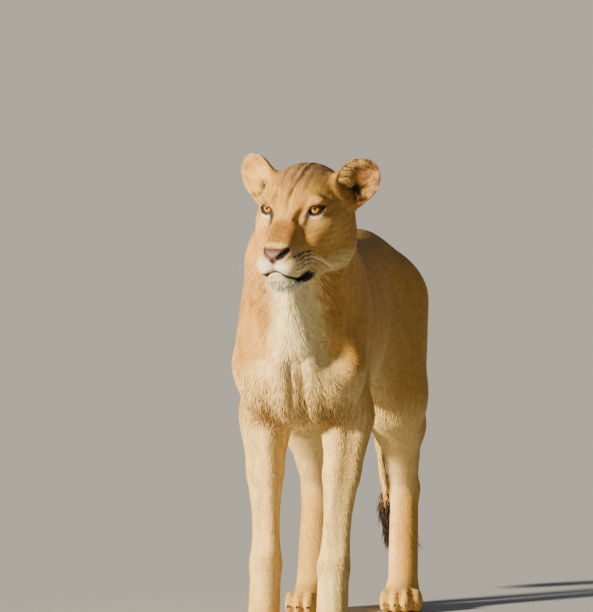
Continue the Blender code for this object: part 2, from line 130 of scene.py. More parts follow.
# ---- soft forms: negative inside ----
def blend(a, b, k):
    """Union of two forms, the crease between them filled over a width of k."""
    h = np.maximum(k - np.abs(a - b), 0.0) / k
    return np.minimum(a, b) - h * h * k * 0.25


def carve(a, b, k):
    """Form a with form b taken away, the edge rounded over k."""
    return -blend(-a, b, k)


def turned(pitch=0.0, yaw=0.0):
    """Axes whose front is tipped down by pitch degrees and turned towards -X by yaw degrees."""
    a, b = math.radians(pitch), math.radians(yaw)
    tip = np.array([[1, 0, 0], [0, math.cos(a), -math.sin(a)], [0, math.sin(a), math.cos(a)]])
    turn = np.array([[math.cos(b), math.sin(b), 0], [-math.sin(b), math.cos(b), 0], [0, 0, 1]])
    return turn @ tip


def rolled(yaw, roll):
    """Axes turned towards -X by yaw degrees, the +X end raised by roll degrees."""
    c = math.radians(roll)
    lift = np.array([[math.cos(c), 0, -math.sin(c)], [0, 1, 0], [math.sin(c), 0, math.cos(c)]])
    return turned(0, yaw) @ lift


def run_together(rows):
    """Forms joined in turn: each row holds the width of its crease, a form, and what the form is given."""
    d = None
    for k, form, *given in rows:
        piece = form(*given)
        d = piece if d is None else blend(d, piece, k)
    return d


def ellipsoid(p, centre, radii, axes=None):
    """Near distance to an ellipsoid: n (n - 1) / s, with n the length of p over the radii.

    s is the length of p over the radii's squares.
    """
    q = p - np.asarray(centre)
    if axes is not None:
        q = q @ axes
    r = np.asarray(radii)
    near = np.linalg.norm(q / r, axis=-1)
    slope = np.linalg.norm(q / (r * r), axis=-1)
    return near * (near - 1.0) / np.maximum(slope, 1e-9)


def cone(p, a, b, ra, rb):
    """Round cone: a ball of ra at a swept to a ball of rb at b."""
    a, b = np.asarray(a, float), np.asarray(b, float)
    length = float(np.linalg.norm(b - a))
    along = (p - a) @ ((b - a) / length)
    across = np.sqrt(np.maximum(((p - a) ** 2).sum(-1) - along ** 2, 0.0))
    s = (ra - rb) / length
    c = math.sqrt(max(1 - s * s, 1e-6))
    side = along * c - across * s
    d = across * c + along * s - ra
    d = np.where(side < 0, np.hypot(across, along) - ra, d)
    return np.where(side > length * c, np.hypot(across, along - length) - rb, d)


def limb(p, stations, k):
    """Round cones through the (point, radius) stations."""
    return run_together((k, cone, p, a, b, ra, rb) for (a, ra), (b, rb) in zip(stations[:-1], stations[1:]))


def slab(p, centre, half, rounding, axes):
    """Box with rounded edges: distance outside the smaller box plus depth inside it, less the rounding."""
    q = np.abs((p - np.asarray(centre)) @ axes) - (np.asarray(half) - rounding)
    return np.linalg.norm(np.maximum(q, 0.0), axis=-1) + np.minimum(q.max(-1), 0.0) - rounding


def both_sides(q, soft=0.004):
    """The point folded onto the left half, with a soft crease on the midline."""
    m = q.copy()
    m[..., 0] = np.sqrt(q[..., 0] ** 2 + soft * soft) - soft * 0.2
    return m


def ramp(value, start, end):
    """0 before start, 1 after end, a smooth step between; start may be the greater."""
    t = np.clip((value - start) / (end - start), 0.0, 1.0)
    return t * t * (3.0 - 2.0 * t)


def mixed(a, b, share):
    """a where the share is 0, b where it is 1, and between them in between."""
    return a + (b - a) * share


def within(p, low, high, form, *more):
    """A form worked out only inside a box, and far off outside it."""
    d = np.full(p.shape[:-1], FAR_OFF)
    inside = np.all((p > np.asarray(low)) & (p < np.asarray(high)), axis=-1)
    if inside.any():
        d[inside] = form(p[inside], *more)
    return d


def to_head(p):
    """Points in the head's own axes, from the middle of the head."""
    return (p - np.asarray(HEAD_AT)) @ HEAD_AXES


def from_head(q):
    """Points given in the head's own axes, as they stand in the body."""
    return np.asarray(q) @ HEAD_AXES.T + np.asarray(HEAD_AT)


def ear_axes():
    """Columns: across the ear, where it faces, up to its tip."""
    up = np.array(EAR_UP) / np.linalg.norm(EAR_UP)
    facing = np.array(EAR_FACING) - (np.array(EAR_FACING) @ up) * up
    facing /= np.linalg.norm(facing)
    return np.stack([np.cross(facing, up), facing, up], axis=1)


HEAD_AXES = turned(HEAD_PITCH, HEAD_YAW)
EAR_AXES = ear_axes()
LOOK = turned(0, -EYE_TOE_OUT)


def in_ear(across, facing, up):
    """A place given in the ear's axes, from the ear's root, as the head sees it."""
    return np.array(EAR_ROOT) + EAR_AXES @ (across, facing, up)


# ---- the head ----
def eye_plane(m):
    """Coordinates across, into and up the left eye's opening, for points m of the folded head."""
    e = (m - np.asarray(EYE_BALL)) @ LOOK
    c, s = math.cos(math.radians(EYE_SLANT)), math.sin(math.radians(EYE_SLANT))
    return e[..., 0] * c + e[..., 2] * s, e[..., 1], e[..., 2] * c - e[..., 0] * s


def lid_heights(u):
    """Heights of the upper and the lower lid's edge at a place u across the eye, -1 at the inner corner."""
    span = np.clip(1.0 - u * u, 0.0, 1.0)
    return EYE_OVER * span ** 0.7, EYE_UNDER * span ** 0.6


def mouth_height(m):
    """Height of the mouth's line: an arch over each lip pad, then down to the corner."""
    arch = 0.0100 * ramp(m[..., 0], 0.003, 0.026)
    return -0.0885 - arch - 0.45 * (np.clip(m[..., 1], -0.128, -0.085) + 0.128)


def nostril(m):
    """The left nostril: a round opening at the front and a slit that sweeps up and out."""
    opening = cone(m, (0.0125, -0.135, -0.0580), (0.0200, -0.129, -0.0525), 0.0050, 0.0046)
    slit = cone(m, (0.0200, -0.129, -0.0525), (0.0310, -0.110, -0.0450), 0.0044, 0.0026)
    return blend(opening, slit, 0.003)


def face_details(d, q, m):
    """Lids, the fold over the upper lid, the hollow before the inner corner, mouth, lip corner, philtrum and
    nostrils.
    """
    across, depth, up = eye_plane(m)
    top, low = lid_heights(across / EYE_HALF)
    opening = np.maximum(np.maximum(up - top, -low - up), np.abs(across) - EYE_HALF)
    d = carve(d, np.maximum(opening, depth + 0.004), 0.003)
    # a soft fold over the upper lid and the hollow in front of the inner corner
    fold = np.abs(np.hypot(across * 0.8, (up + 0.004) * 1.35) - 0.0185) - 0.0012
    d = carve(d, np.maximum(fold, np.maximum(-up + 0.003, -(d + 0.003))), 0.004)
    d = carve(d, ellipsoid(m, (0.027, -0.030, 0.002), (0.007, 0.017, 0.008), turned(38, 24)), 0.012)
    seam = np.maximum(np.abs(q[..., 2] - mouth_height(m)) - 0.0012, q[..., 1] + 0.046)
    d = carve(d, np.maximum(seam, -(d + 0.006)), 0.004)
    d = carve(d, ellipsoid(m, (0.053, -0.062, -0.1175), (0.011, 0.022, 0.0030), turned(-12, 0)), 0.006)
    groove = np.hypot(q[..., 0], (q[..., 1] + 0.134) * 0.5) - 0.0014
    limits = np.maximum(-(q[..., 2] + 0.090), q[..., 2] + 0.066)
    d = carve(d, np.maximum(groove, limits), 0.006)
    return carve(d, nostril(m) + 0.0012, 0.004)


def ear_side(q, m):
    """Folded points as the ears see them: her right ear stands a little higher."""
    moved = m.copy()
    moved[..., 2] -= EAR_RISE * np.clip((-q[..., 0] - 0.030) / 0.030, 0.0, 1.0)
    return moved


def head(p):
    """Skull, cheeks, jaw muscles, nose bridge, muzzle, chin, brows, eye mounds and ears."""
    q = to_head(p)
    m = both_sides(q)
    d = run_together([
        (0, ellipsoid, q, (0, 0.086, -0.008), (0.083, 0.092, 0.087)),
        (0.03, ellipsoid, q, (0, 0.032, 0.003), (0.068, 0.058, 0.044)),
        (0.03, ellipsoid, m, (0.056, 0.060, -0.038), (0.0425, 0.066, 0.046)),
        (0.03, ellipsoid, m, (0.050, 0.074, -0.084), (0.046, 0.062, 0.048)),
        (0.022, slab, q, (0, -0.056, -0.045), (0.032, 0.076, 0.036), 0.020, turned(29)),
        (0.022, slab, q, (0, -0.063, -0.082), (0.044, 0.062, 0.038), 0.034, turned(10)),
        (0.024, ellipsoid, m, (0.038, -0.010, -0.050), (0.038, 0.056, 0.034), turned(24, 12)),
        (0.012, ellipsoid, m, (0.021, -0.098, -0.080), (0.0275, 0.034, 0.026)),
        (0.02, cone, m, (0.017, -0.062, -0.111), (0.046, 0.060, -0.092), 0.027, 0.046),
        (0.012, ellipsoid, q, (0, -0.082, -0.113), (0.030, 0.035, 0.025)),
        (0.012, ellipsoid, m, EYE_BALL, (0.0225, 0.0215, 0.0205)),
        (0.014, ellipsoid, m, (0.047, 0.003, 0.027), (0.027, 0.015, 0.009), rolled(24, 5)),
        (0.006, slab, q, (0, -0.117, -0.060), (0.029, 0.016, 0.013), 0.012, turned(20)),
    ])
    # the forehead's furrow and the bridge's flat top
    furrow = np.maximum(np.abs(q[..., 0]) - 0.0012, np.maximum(-(q[..., 2] - 0.020), -(d + 0.002)))
    d = carve(d, furrow, 0.010)
    m = ear_side(q, m)
    leaf = ellipsoid(m, in_ear(0, 0.004, 0.040), (0.050, 0.026, 0.057), EAR_AXES)
    stalk = ellipsoid(m, in_ear(0, 0, 0.006), (0.040, 0.026, 0.034), EAR_AXES)
    hollow = ellipsoid(m, in_ear(0, 0.022, 0.042), (0.043, 0.030, 0.050), EAR_AXES)
    pit = ellipsoid(m, in_ear(*EAR_PIT), (0.012, 0.020, 0.014), EAR_AXES)
    d = blend(d, blend(leaf, stalk, 0.02), 0.016)
    d = carve(carve(d, hollow, 0.006), pit, 0.008)
    return face_details(d, q, both_sides(q))


# ---- the body ----
def fore_leg(p, side):
    """Shoulder blade, shoulder point, upper arm, forearm, wrist and pastern."""
    x, y = FORE_PAWS[side]
    point, elbow = (side * SHOULDER_X, -0.370, 0.620), (side * ELBOW_X, -0.262, ELBOW_Z)
    wrist, knuckle = (x, y + 0.035, WRIST_Z), (x, y + 0.004, 0.050)
    fore = tuple(0.62 * np.array(elbow) + 0.38 * np.array(wrist) - (0, 0.012, 0))
    return run_together([
        (0, cone, p, (side * 0.070, -0.235, 0.810), point, 0.038, 0.050),
        (0.04, cone, p, point, elbow, 0.050, 0.052),
        (0.05, limb, p, [(elbow, 0.050), (fore, 0.0425), (wrist, 0.036), (knuckle, 0.038)], 0.014),
        (0.03, ellipsoid, p, (side * ELBOW_X, -0.268, 0.462), (0.040, 0.056, 0.105), turned(-8)),
        (0.05, cone, p, (side * 0.080, -0.195, 0.650), (side * ELBOW_X, -0.222, 0.525), 0.060, 0.040),
        (0.05, ellipsoid, p, (side * 0.078, -0.300, 0.690), (0.052, 0.105, 0.180), turned(-28)),
        (0.02, ellipsoid, p, (x, y + 0.052, WRIST_Z - 0.035), (0.022, 0.018, 0.022)),
    ])


def hind_leg(p, side):
    """Thigh, stifle, second thigh, hock and hind pastern."""
    x, y = HIND_PAWS[side]
    lean = (y - 0.435) * 0.35
    knee, hock = (side * 0.103, 0.310 + lean, 0.500), (side * 0.094, y + 0.078, HOCK_Z)
    calf = tuple(0.55 * np.array(knee) + 0.45 * np.array(hock) + (0, 0.016, 0.024))
    return run_together([
        (0, cone, p, (side * HIP_X, 0.440, 0.710), knee, 0.088, 0.066),
        (0.06, ellipsoid, p, (side * 0.086, 0.455, 0.600), (0.058, 0.125, 0.185), turned(-10)),
        (0.05, ellipsoid, p, (side * 0.092, 0.375, 0.560), (0.054, 0.125, 0.110), turned(20)),
        (0.08, ellipsoid, p, (side * 0.070, 0.265, 0.600), (0.040, 0.110, 0.080), turned(30)),
        (0.06, limb, p, [(knee, 0.064), (calf, 0.056), (hock, 0.032)], 0.03),
        (0.025, cone, p, hock, (x, y + 0.026, 0.060), 0.035, 0.037),
    ])


def paw(p, at, size, splay):
    """Pad and four toes; the middle two reach further forward."""
    width, length = size
    q = (p - np.array([at[0], at[1], 0.0])) @ turned(0, -splay)
    d = ellipsoid(q, (0, 0.008, 0.028), (width * 0.42, length * 0.45, 0.044))
    for place, reach in TOES:
        centre = (place * width * TOE_SPACING, -length * reach, 0.024)
        d = blend(d, ellipsoid(q, centre, (width * 0.152, length * 0.22, 0.032)), 0.007)
    return d


def neck(p):
    """Nape and throat: round cones from the withers to the skull, and from the breast to the jaw."""
    nape, throat = tuple(from_head((0, 0.100, -0.030))), tuple(from_head((0, 0.030, -0.095)))
    d = limb(p, [((0, -0.23, 0.760), 0.118), ((0.003, -0.355, 0.835), 0.110), (nape, 0.090)], 0.06)
    return blend(d, cone(p, (0, -0.360, 0.700), throat, 0.098, 0.066), 0.07)


def trunk(p):
    """Rib cage, withers, breast, loin and rump."""
    return run_together([
        (0, ellipsoid, p, (0, -0.100, 0.675), (CHEST_WIDTH / 2, CHEST_LENGTH / 2, CHEST_DEPTH / 2)),
        (0.06, ellipsoid, p, (0, -0.225, WITHERS - 0.090), (0.072, 0.160, 0.088)),
        (0.06, ellipsoid, p, (0, -0.340, 0.625), (0.098, 0.120, 0.140)),
        (0.08, ellipsoid, p, (0, 0.190, 0.700), (0.120, 0.340, 0.165)),
        (0.06, ellipsoid, p, (0, 0.430, 0.731), (0.113, 0.170, 0.139)),
    ])


def tail_line(count=22):
    """Points along the tail's Bezier curve and the tail's radius at each."""
    t = np.linspace(0, 1, count)[:, None]
    a, b, c, d = (np.array(v, float) for v in TAIL_CURVE)
    line = (1 - t) ** 3 * a + 3 * t * (1 - t) ** 2 * b + 3 * t * t * (1 - t) * c + t ** 3 * d
    return line, TAIL_RADIUS + (TAIL_ROOT_RADIUS - TAIL_RADIUS) * (1 - t[:, 0]) ** 2.2


def tail(p):
    """Round cones along the tail's line, and a thicker one where the tuft is."""
    line, radii = tail_line()
    d = limb(p, list(zip(map(tuple, line), radii)), 0.003)
    tip = line[-1] + 0.02 * (line[-1] - line[-2]) / np.linalg.norm(line[-1] - line[-2])
    return blend(d, cone(p, line[-3], tip, 0.020, TUFT_RADIUS), 0.02)


def near_parts(p):
    """Distance to each part of the body, worked out only in that part's own box."""
    near = {
        "trunk": within(p, (-0.4, -0.75, 0.30), (0.4, 0.80, 1.20), trunk),
        "neck": within(p, (-0.4, -0.75, 0.40), (0.4, 0.10, 1.20), neck),
        "head": within(p, (-0.3, -0.85, 0.60), (0.3, -0.22, 1.25), head),
        "tail": within(p, (-0.2, 0.45, -0.05), (0.25, 1.00, 0.95), tail),
    }
    for side, word in SIDES:
        x0, x1 = sorted((side * -0.10, side * 0.40))
        for name, (y0, y1, z1), form, *given in (
            ("foreleg_", (-0.60, 0.05, 1.02), fore_leg, side),
            ("hindleg_", (0.02, 0.80, 0.95), hind_leg, side),
            ("forepaw_", (-0.60, -0.10, 0.20), paw, FORE_PAWS[side], FORE_PAW, side * FORE_SPLAY),
            ("hindpaw_", (0.15, 0.75, 0.20), paw, HIND_PAWS[side], HIND_PAW, side * HIND_SPLAY),
        ):
            near[name + word] = within(p, (x0, y0, -0.10), (x1, y1, z1), form, *given)
    # where the head isn't worked out, it counts as further off than the neck
    near["head"] = np.where(near["head"] < FAR_OFF, near["head"], 2 * FAR_OFF)
    return near


def muscles(d, p):
    """The breast's furrow, the neck's grooves, the shoulder's edge, the flank's fold and slimmer forearms."""
    x, y, z = p[..., 0], p[..., 1], p[..., 2]
    side = np.stack([np.abs(x), y, z], axis=-1)
    front = -(d + 0.012)
    furrow = np.maximum(np.abs(x - 0.006) - 0.004, np.maximum(z - 0.63, 0.44 - z))
    furrow = np.maximum(furrow, np.maximum(y + 0.36, front))
    groove = cone(side, (0.052, -0.515, 0.800), (0.098, -0.448, 0.650), 0.016, 0.018)
    blade = cone(side, (0.120, -0.215, 0.800), (0.150, -0.150, 0.560), 0.008, 0.016)
    arm = cone(side, (0.150, -0.330, 0.560), (0.150, -0.270, 0.640), 0.010, 0.006)
    flank = cone(side, (0.162, 0.200, 0.740), (0.168, 0.180, 0.520), 0.014, 0.024)
    hollows = ((furrow, 0.034), (groove - 0.003, 0.050), (blade + 0.010, 0.050), (arm, 0.030), (flank, 0.070))
    for hollow, k in hollows:
        d = carve(d, hollow, k)
    for toward, (paw_x, paw_y) in FORE_PAWS.items():
        above, below = (toward * (ELBOW_X + 0.024), -0.330, 0.470), (paw_x + toward * 0.014, paw_y, 0.230)
        d = carve(d, cone(p, above, below, 0.009, 0.005) - 0.002, 0.030)
    return d + 0.0045 * ramp(np.abs(z - 0.275), 0.085, 0.015) * ramp(y, -0.14, -0.20)


def head_share(near, soft):
    """1 on the head, 0 on the neck, changing over twice soft where they meet."""
    return ramp(near["neck"] - near["head"], -soft, soft)


def tail_share(near, y):
    """1 on the free tail, 0 on the rump."""
    return ramp(near["tail"], 0.010, 0.0) * ramp(y, 0.60, 0.64)


def coat_depth(p, near):
    """How far the skin lies inside the coat's outline: least on face and feet, most on breast and belly."""
    q = to_head(p)
    depth = 0.0045 + 0.0025 * ramp(p[..., 2], 0.62, 0.48) * ramp(np.abs(p[..., 0]), 0.09, 0.04)
    depth += 0.0025 * ramp(p[..., 1], -0.34, -0.42)
    depth -= 0.0020 * ramp(p[..., 2], 0.40, 0.16)
    return mixed(depth, 0.0014 + 0.0026 * ramp(q[..., 1], -0.03, 0.09), head_share(near, 0.02))


def joined(p, near):
    """All parts flowing into each other: the coat's outline."""
    d = blend(blend(near["trunk"], near["neck"], 0.07), near["head"], 0.045)
    for _, word in SIDES:
        d = blend(d, blend(near["foreleg_" + word], near["forepaw_" + word], 0.02), 0.035)
        d = blend(d, blend(near["hindleg_" + word], near["hindpaw_" + word], 0.02), 0.045)
    return muscles(blend(d, near["tail"], 0.03), p)


def skin_form(p):
    """The skin: the coat's outline drawn in by the coat's depth, and cut flat at the floor."""
    near = near_parts(p)
    d = joined(p, near) + coat_depth(p, near)
    return np.maximum(d, 0.0008 - p[..., 2])


# ---- the skin's lattice ----
def lattice_place(index):
    """Where lattice points stand: FINE steps from the head's middle out to FINE_REACH, then COARSE ones."""
    r = np.linalg.norm(index, axis=-1)
    beyond = np.maximum(r - FINE_REACH, 0.0)
    eased = np.where(beyond < EASE, beyond * beyond / (2.0 * EASE), beyond - EASE / 2.0)
    reach = FINE * r + (COARSE - FINE) * eased
    return LATTICE_AT + index * (reach / np.maximum(r, 1e-6))[..., None]


def lattice_bounds():
    """Lowest and highest lattice index that the CAD box reaches, in whole blocks."""
    steps = np.arange(0, 400)
    reach = (lattice_place(np.stack([steps, 0 * steps, 0 * steps], axis=-1)) - LATTICE_AT)[:, 0]
    low = np.array(cad_bounds[0]) + MIDDLE - LATTICE_AT - 0.02
    high = np.array(cad_bounds[1]) + MIDDLE - LATTICE_AT + 0.02
    first = -np.ceil(np.interp(-low, reach, steps) / BLOCK) * BLOCK
    last = np.ceil(np.interp(high, reach, steps) / BLOCK) * BLOCK
    return first, last


def skin_mesh():
    """The surface where the skin's form is zero, read on the lattice.

    Only blocks of the lattice whose middle lies near the surface are worked out point by point; the others
    keep the sign of their middle.
    """
    first, last = lattice_bounds()
    blocks = ((last - first) / BLOCK).astype(int)
    middles = np.stack(np.meshgrid(*[np.arange(n) for n in blocks], indexing="ij"), axis=-1).reshape(-1, 3)
    corner = middles * BLOCK + first
    centre = corner + (BLOCK - 1) / 2
    grow = FINE + (COARSE - FINE) * np.clip((np.linalg.norm(centre, axis=-1) + 4 - FINE_REACH) / EASE, 0, 1)
    d = np.concatenate([skin_form(lattice_place(c)) for c in np.array_split(centre, 12)])
    close = np.abs(d) < 1.35 * grow * BLOCK * math.sqrt(3) / 2 + 0.002
    values = np.sign(d)[:, None] * np.ones(BLOCK ** 3)
    local = np.stack(np.meshgrid(*[np.arange(BLOCK)] * 3, indexing="ij"), axis=-1).reshape(-1, 3)
    chosen = np.flatnonzero(close)
    for part in np.array_split(chosen, max(1, len(chosen) * BLOCK ** 3 // 60000)):
        index = corner[part][:, None, :] + local[None]
        values[part] = skin_form(lattice_place(index.astype(float)))
    values = values.reshape(*blocks, BLOCK, BLOCK, BLOCK).transpose(0, 3, 1, 4, 2, 5)
    values = np.ascontiguousarray(values.reshape(blocks * BLOCK), np.float32)
    grid = openvdb.FloatGrid(1.0)
    grid.copyFromArray(values)
    points, quads = grid.convertToQuads(0.0)
    return lattice_place(points + first), quads


# ---- the coat's markings ----
def over(colour, paint, mask):
    """The colour with a paint laid over it where the mask is 1."""
    return mixed(colour, np.asarray(paint), mask[:, None])


def painted(colour, *coats):
    """The colour with coats of (paint, mask) laid over it one after the other."""
    for paint, mask in coats:
        colour = over(colour, paint, mask)
    return colour


def toned(paint, share):
    """A paint times a share: darker below 1, paler above it."""
    return np.asarray(paint) * share


def patch(q, centre, radii, soft=0.5, axes=None):
    """Mask of an ellipsoid: 1 inside, fading out over a soft share of its radii."""
    offset = q - np.asarray(centre)
    if axes is not None:
        offset = offset @ axes
    return ramp(np.linalg.norm(offset / np.asarray(radii), axis=-1), 1.0 + soft / 2, 1.0 - soft / 2)


def line_patch(q, a, b, width, soft=0.6):
    """Mask of a stroke from a to b."""
    return ramp(cone(q, a, b, width, width) / width, soft, -soft)


def clouds(p, size, seed):
    """Soft irregular field between -1 and 1: a sum of waves in many directions, with steps of about size."""
    rng = np.random.default_rng(seed)
    total = np.zeros(len(p))
    for octave in range(3):
        for _ in range(4):
            way = rng.normal(size=3)
            way *= 2 * math.pi / (size * 0.6 ** octave * np.linalg.norm(way))
            total += np.sin(p @ way + rng.uniform(0, 2 * math.pi)) * 0.6 ** octave
    return np.clip(total / 3.2, -1, 1)


def streaks(p, q, on_head):
    """Streaks along the lie of the hair: out from the nose, down breast and legs, back along the trunk."""
    x, y, z = p.T
    turn = np.arctan2(q[:, 0], q[:, 2] + 0.055)
    reach = np.linalg.norm(q - NOSE_TIP, axis=-1)
    faced = clouds(np.stack([turn * 0.11, reach * 0.25, 0.0 * x], axis=-1), 0.011, 31)
    upright = clouds(np.stack([x, y, z * 0.20], axis=-1), 0.016, 32)
    lengthwise = clouds(np.stack([x, y * 0.20, z], axis=-1), 0.016, 33)
    body = mixed(upright, lengthwise, ramp(y, -0.42, -0.12) * ramp(z, 0.44, 0.60))
    return mixed(body, faced, on_head)


def face_colour(colour, q, m, rough):
    """Paints the head: pale brows, cheeks and muzzle, rust bridge, dark stripe, eye rims and lips."""
    x, y, z = q.T
    jitter = 0.0022 * rough[:, None]
    w, v = m + jitter, q + jitter
    chin_streaks_and_shade = np.clip(0.5 + 0.9 * np.sin(x * 780 + 3.0 * rough), 0, 1) * ramp(z, -0.112, -0.122)
    bridge = patch(v, (-0.002, -0.078, -0.018), (0.033, 0.048, 0.024), 1.4, turned(29))
    # forehead: greyer crown, the stripe along the furrow and a shorter one beside it
    grizzle = 0.55 + 0.45 * np.sin(x * 900 + 2.5 * rough)
    crown = patch(v, (0, 0.075, 0.080), (0.062, 0.075, 0.042), 0.8)
    middle = np.interp(y, (-0.020, 0.003, 0.042, 0.090), (-0.003, 0.000, 0.010, 0.014))
    half = np.interp(y, (-0.020, 0.020, 0.060, 0.110), (0.0040, 0.0065, 0.0095, 0.0100))
    high = ramp(z, 0.024, 0.040)
    stripe = ramp(np.abs(v[:, 0] - middle) / half, 1.0, 0.25) * high
    side_stripe = ramp(np.abs(w[:, 0] - 0.024 - 0.10 * y), 0.0045, 0.0010) * high * ramp(y, -0.002, 0.020)
    # the lids' rims, the tear line from the inner corner and the line behind the outer one
    across, _, up = eye_plane(m)
    top, low = lid_heights(across / EYE_HALF)
    rim = np.maximum(up - top, -low - up)
    rim = np.where(np.abs(across) < EYE_HALF, rim, np.hypot(np.abs(across) - EYE_HALF, up))
    front = ramp(m[:, 1], 0.020, 0.008)
    heavy = 0.0040 + 0.0018 * ramp(-across / EYE_HALF, 0.2, 1.0)
    flat = np.stack([across, 0.0 * across, up], axis=-1)
    tear = line_patch(flat, (-0.0140, 0, 0.0000), (-0.0235, 0, -0.0090), 0.0056, 0.4)
    tear = np.maximum(tear, line_patch(flat, (-0.0235, 0, -0.0090), (-0.0285, 0, -0.0200), 0.0042, 0.6))
    # the trail carries the tear line on down beside the nose: partly a darker streak of the coat, partly
    # painted shade
    tear_trail_and_shade = line_patch(flat, (-0.0285, 0, -0.0200), (-0.0320, 0, -0.0380), 0.0045, 0.9)
    # lips, thicker towards her right
    thick = 1.0 + 1.1 * ramp(x, -0.012, -0.022)
    lips = ramp(np.abs(z - mouth_height(m)) / thick, 0.0034, 0.0012) * ramp(y, -0.036, -0.048)
    return painted(
        colour,
        (SAND, 0.8 * patch(w, (0.062, 0.020, -0.042), (0.040, 0.050, 0.038), 0.8)),
        (CREAM, 0.75 * patch(w, (0.055, 0.055, -0.120), (0.050, 0.080, 0.040), 0.8)),
        # muzzle and chin
        (CREAM, 0.75 * patch(w, (0.026, -0.100, -0.086), (0.036, 0.040, 0.026), 0.9)),
        (WHITE, 0.9 * patch(w, (0.014, -0.126, -0.084), (0.018, 0.022, 0.017), 0.8)),
        (TAWNY, 0.45 * patch(w, (0.050, -0.070, -0.066), (0.012, 0.036, 0.014), 1.0)),
        (WHITE, 0.85 * patch(v, (0.0, -0.100, -0.124), (0.038, 0.050, 0.022), 0.9)),
        (CREAM, 0.9 * patch(v, (0.0, -0.035, -0.150), (0.075, 0.080, 0.040), 0.7)),
        # grey under the chin: streaks of the hair's clumps, partly painted shade under the chin
        (GREY, 0.50 * chin_streaks_and_shade * patch(q, (0.0, -0.095, -0.130), (0.036, 0.050, 0.024), 0.6)),
        # bridge of the nose
        (GOLD, bridge * np.clip(0.88 + 0.40 * rough, 0, 1)),
        (SAND, 0.6 * patch(v, (0.0, -0.030, 0.012), (0.022, 0.036, 0.020), 0.9)),
        (CREAM, 0.55 * patch(w, (0.012, -0.1120, -0.0360), (0.019, 0.007, 0.0050), 0.9)),
        # forehead
        (GREY, 0.70 * crown),
        (BROWN, 0.50 * crown * grizzle),
        (toned(BROWN, 0.55), 0.92 * stripe * ramp(y, -0.024, 0.004)),
        (BROWN, 0.60 * side_stripe),
        # around the eyes
        (CREAM, 0.26 * patch(w, (0.048, -0.006, 0.036), (0.020, 0.014, 0.0090), 1.3)),
        (RUST, 0.75 * patch(w, (0.032, -0.010, 0.032), (0.0060, 0.014, 0.014), 1.0)),
        # painted light: a pale pool under each eye where the sun falls below the brow; the thin white line
        # under the lid is fur
        (CREAM, 0.30 * patch(w, (0.060, -0.016, -0.0130), (0.020, 0.018, 0.0110), 1.2)),
        (WHITE, 0.70 * patch(w, (0.058, -0.016, -0.0040), (0.018, 0.016, 0.0045), 0.9)),
        (RUST, 0.30 * patch(w, (0.075, 0.004, -0.006), (0.012, 0.014, 0.010), 0.9)),
        (BROWN, 0.30 * line_patch(w, (0.070, -0.004, -0.006), (0.090, 0.040, -0.012), 0.0040, 0.9)),
        (DARK, front * ramp(rim / heavy, 1.0, 0.5)),
        (DARK, 0.96 * tear * front),
        (BROWN, 0.60 * tear_trail_and_shade * front),
        (DARK, 0.75 * line_patch(m, (0.0665, -0.001, 0.0125), (0.075, 0.008, 0.0155), 0.0024, 0.8)),
        *((DARK, 0.95 * patch(m, root, (0.012, 0.0062, 0.0024), 0.7)) for root in WHISKER_ROOTS),
        (DARK, 0.92 * lips),
        # near-black lip skin at each mouth corner, partly painted shade of the lip's fold
        (toned(DARK, 0.5), patch(w, LIP_CORNER, LIP_CORNER_SIZE, 0.4)),
    )


def leather_mask(q, m):
    """Where the nose leather is: broad between the nostrils, narrowing down to the lip's groove."""
    z = q[:, 2]
    half = 0.0040 + 0.0240 * ramp(z, -0.074, -0.046)
    wide = ramp(m[:, 0] - half, 0.0016, -0.0016)
    high = ramp(z, -0.0395, -0.0425) * ramp(z, -0.098, -0.094)
    low = ramp(m[:, 0], 0.0035, 0.0022)
    band = np.maximum(ramp(z, -0.077, -0.073), low)
    return wide * high * band * ramp(q[:, 1], -0.100, -0.106)


def ear_colour(colour, q, m, rough):
    """Ears: sandy backs, a dark patch and rim, a pale inside with brown streaks, and painted shade in the
    hollow.
    """
    at = (ear_side(q, m) - np.array(EAR_ROOT)) @ EAR_AXES
    across, facing, up = at.T
    on_ear = ramp(up, 0.006, 0.024) * ramp(m[:, 0], 0.060, 0.072)
    radial = np.hypot(across / 0.048, (up - 0.040) / 0.056)
    middle = 0.011 - 0.028 * np.sqrt(np.clip(1.0 - radial ** 2, 0.0, 1.0))
    behind = ramp(facing - middle, 0.001, -0.003)
    patched = on_ear * behind * 0.88 * ramp(np.hypot(across / 0.036, (up - 0.034) / 0.036), 1.15, 0.75)
    inside = ramp(radial, 0.97, 0.86) * (1.0 - behind) * on_ear
    left = ramp(q[:, 0], -0.04, 0.04)
    turn = np.arctan2(up - 0.015, across + 0.010)
    fans = np.clip(np.sin(turn * 17 + 2.5 * rough) * 0.9 + 0.35, 0, 1) * (0.12 + 0.88 * left)
    root = ramp(np.abs(up - 0.006), 0.040, 0.015) * ramp(np.abs(across - 0.030), 0.050, 0.020)
    root = root * ramp(facing, -0.02, 0.0)
    pit = np.hypot((across - EAR_PIT[0]) / 0.014, (up - EAR_PIT[2]) / 0.016)
    rim = on_ear * ramp(np.abs(radial - 1.02), 0.130, 0.030) * ramp(up + 0.4 * across, 0.020, 0.055)
    return painted(
        colour,
        (SAND, 0.8 * on_ear),
        (DARK, patched),
        (SAND, 0.70 * inside),
        (INNER_EAR, 0.80 * inside * left),
        (RUST, 0.75 * inside * fans),
        (BROWN, 0.90 * inside * fans * left * ramp(radial, 0.15, 0.50)),
        (BROWN, 0.55 * root * np.clip(0.5 + 1.2 * rough, 0, 1) * left),
        # painted shade: the ear's hollow darkened where it runs into the head
        (DARK, 0.93 * ramp(pit, 1.30, 0.70) * ramp(facing, 0.020, 0.010) * on_ear),
        (toned(BROWN, 0.6), 0.90 * rim * ramp(facing, 0.020, 0.004)),
    )


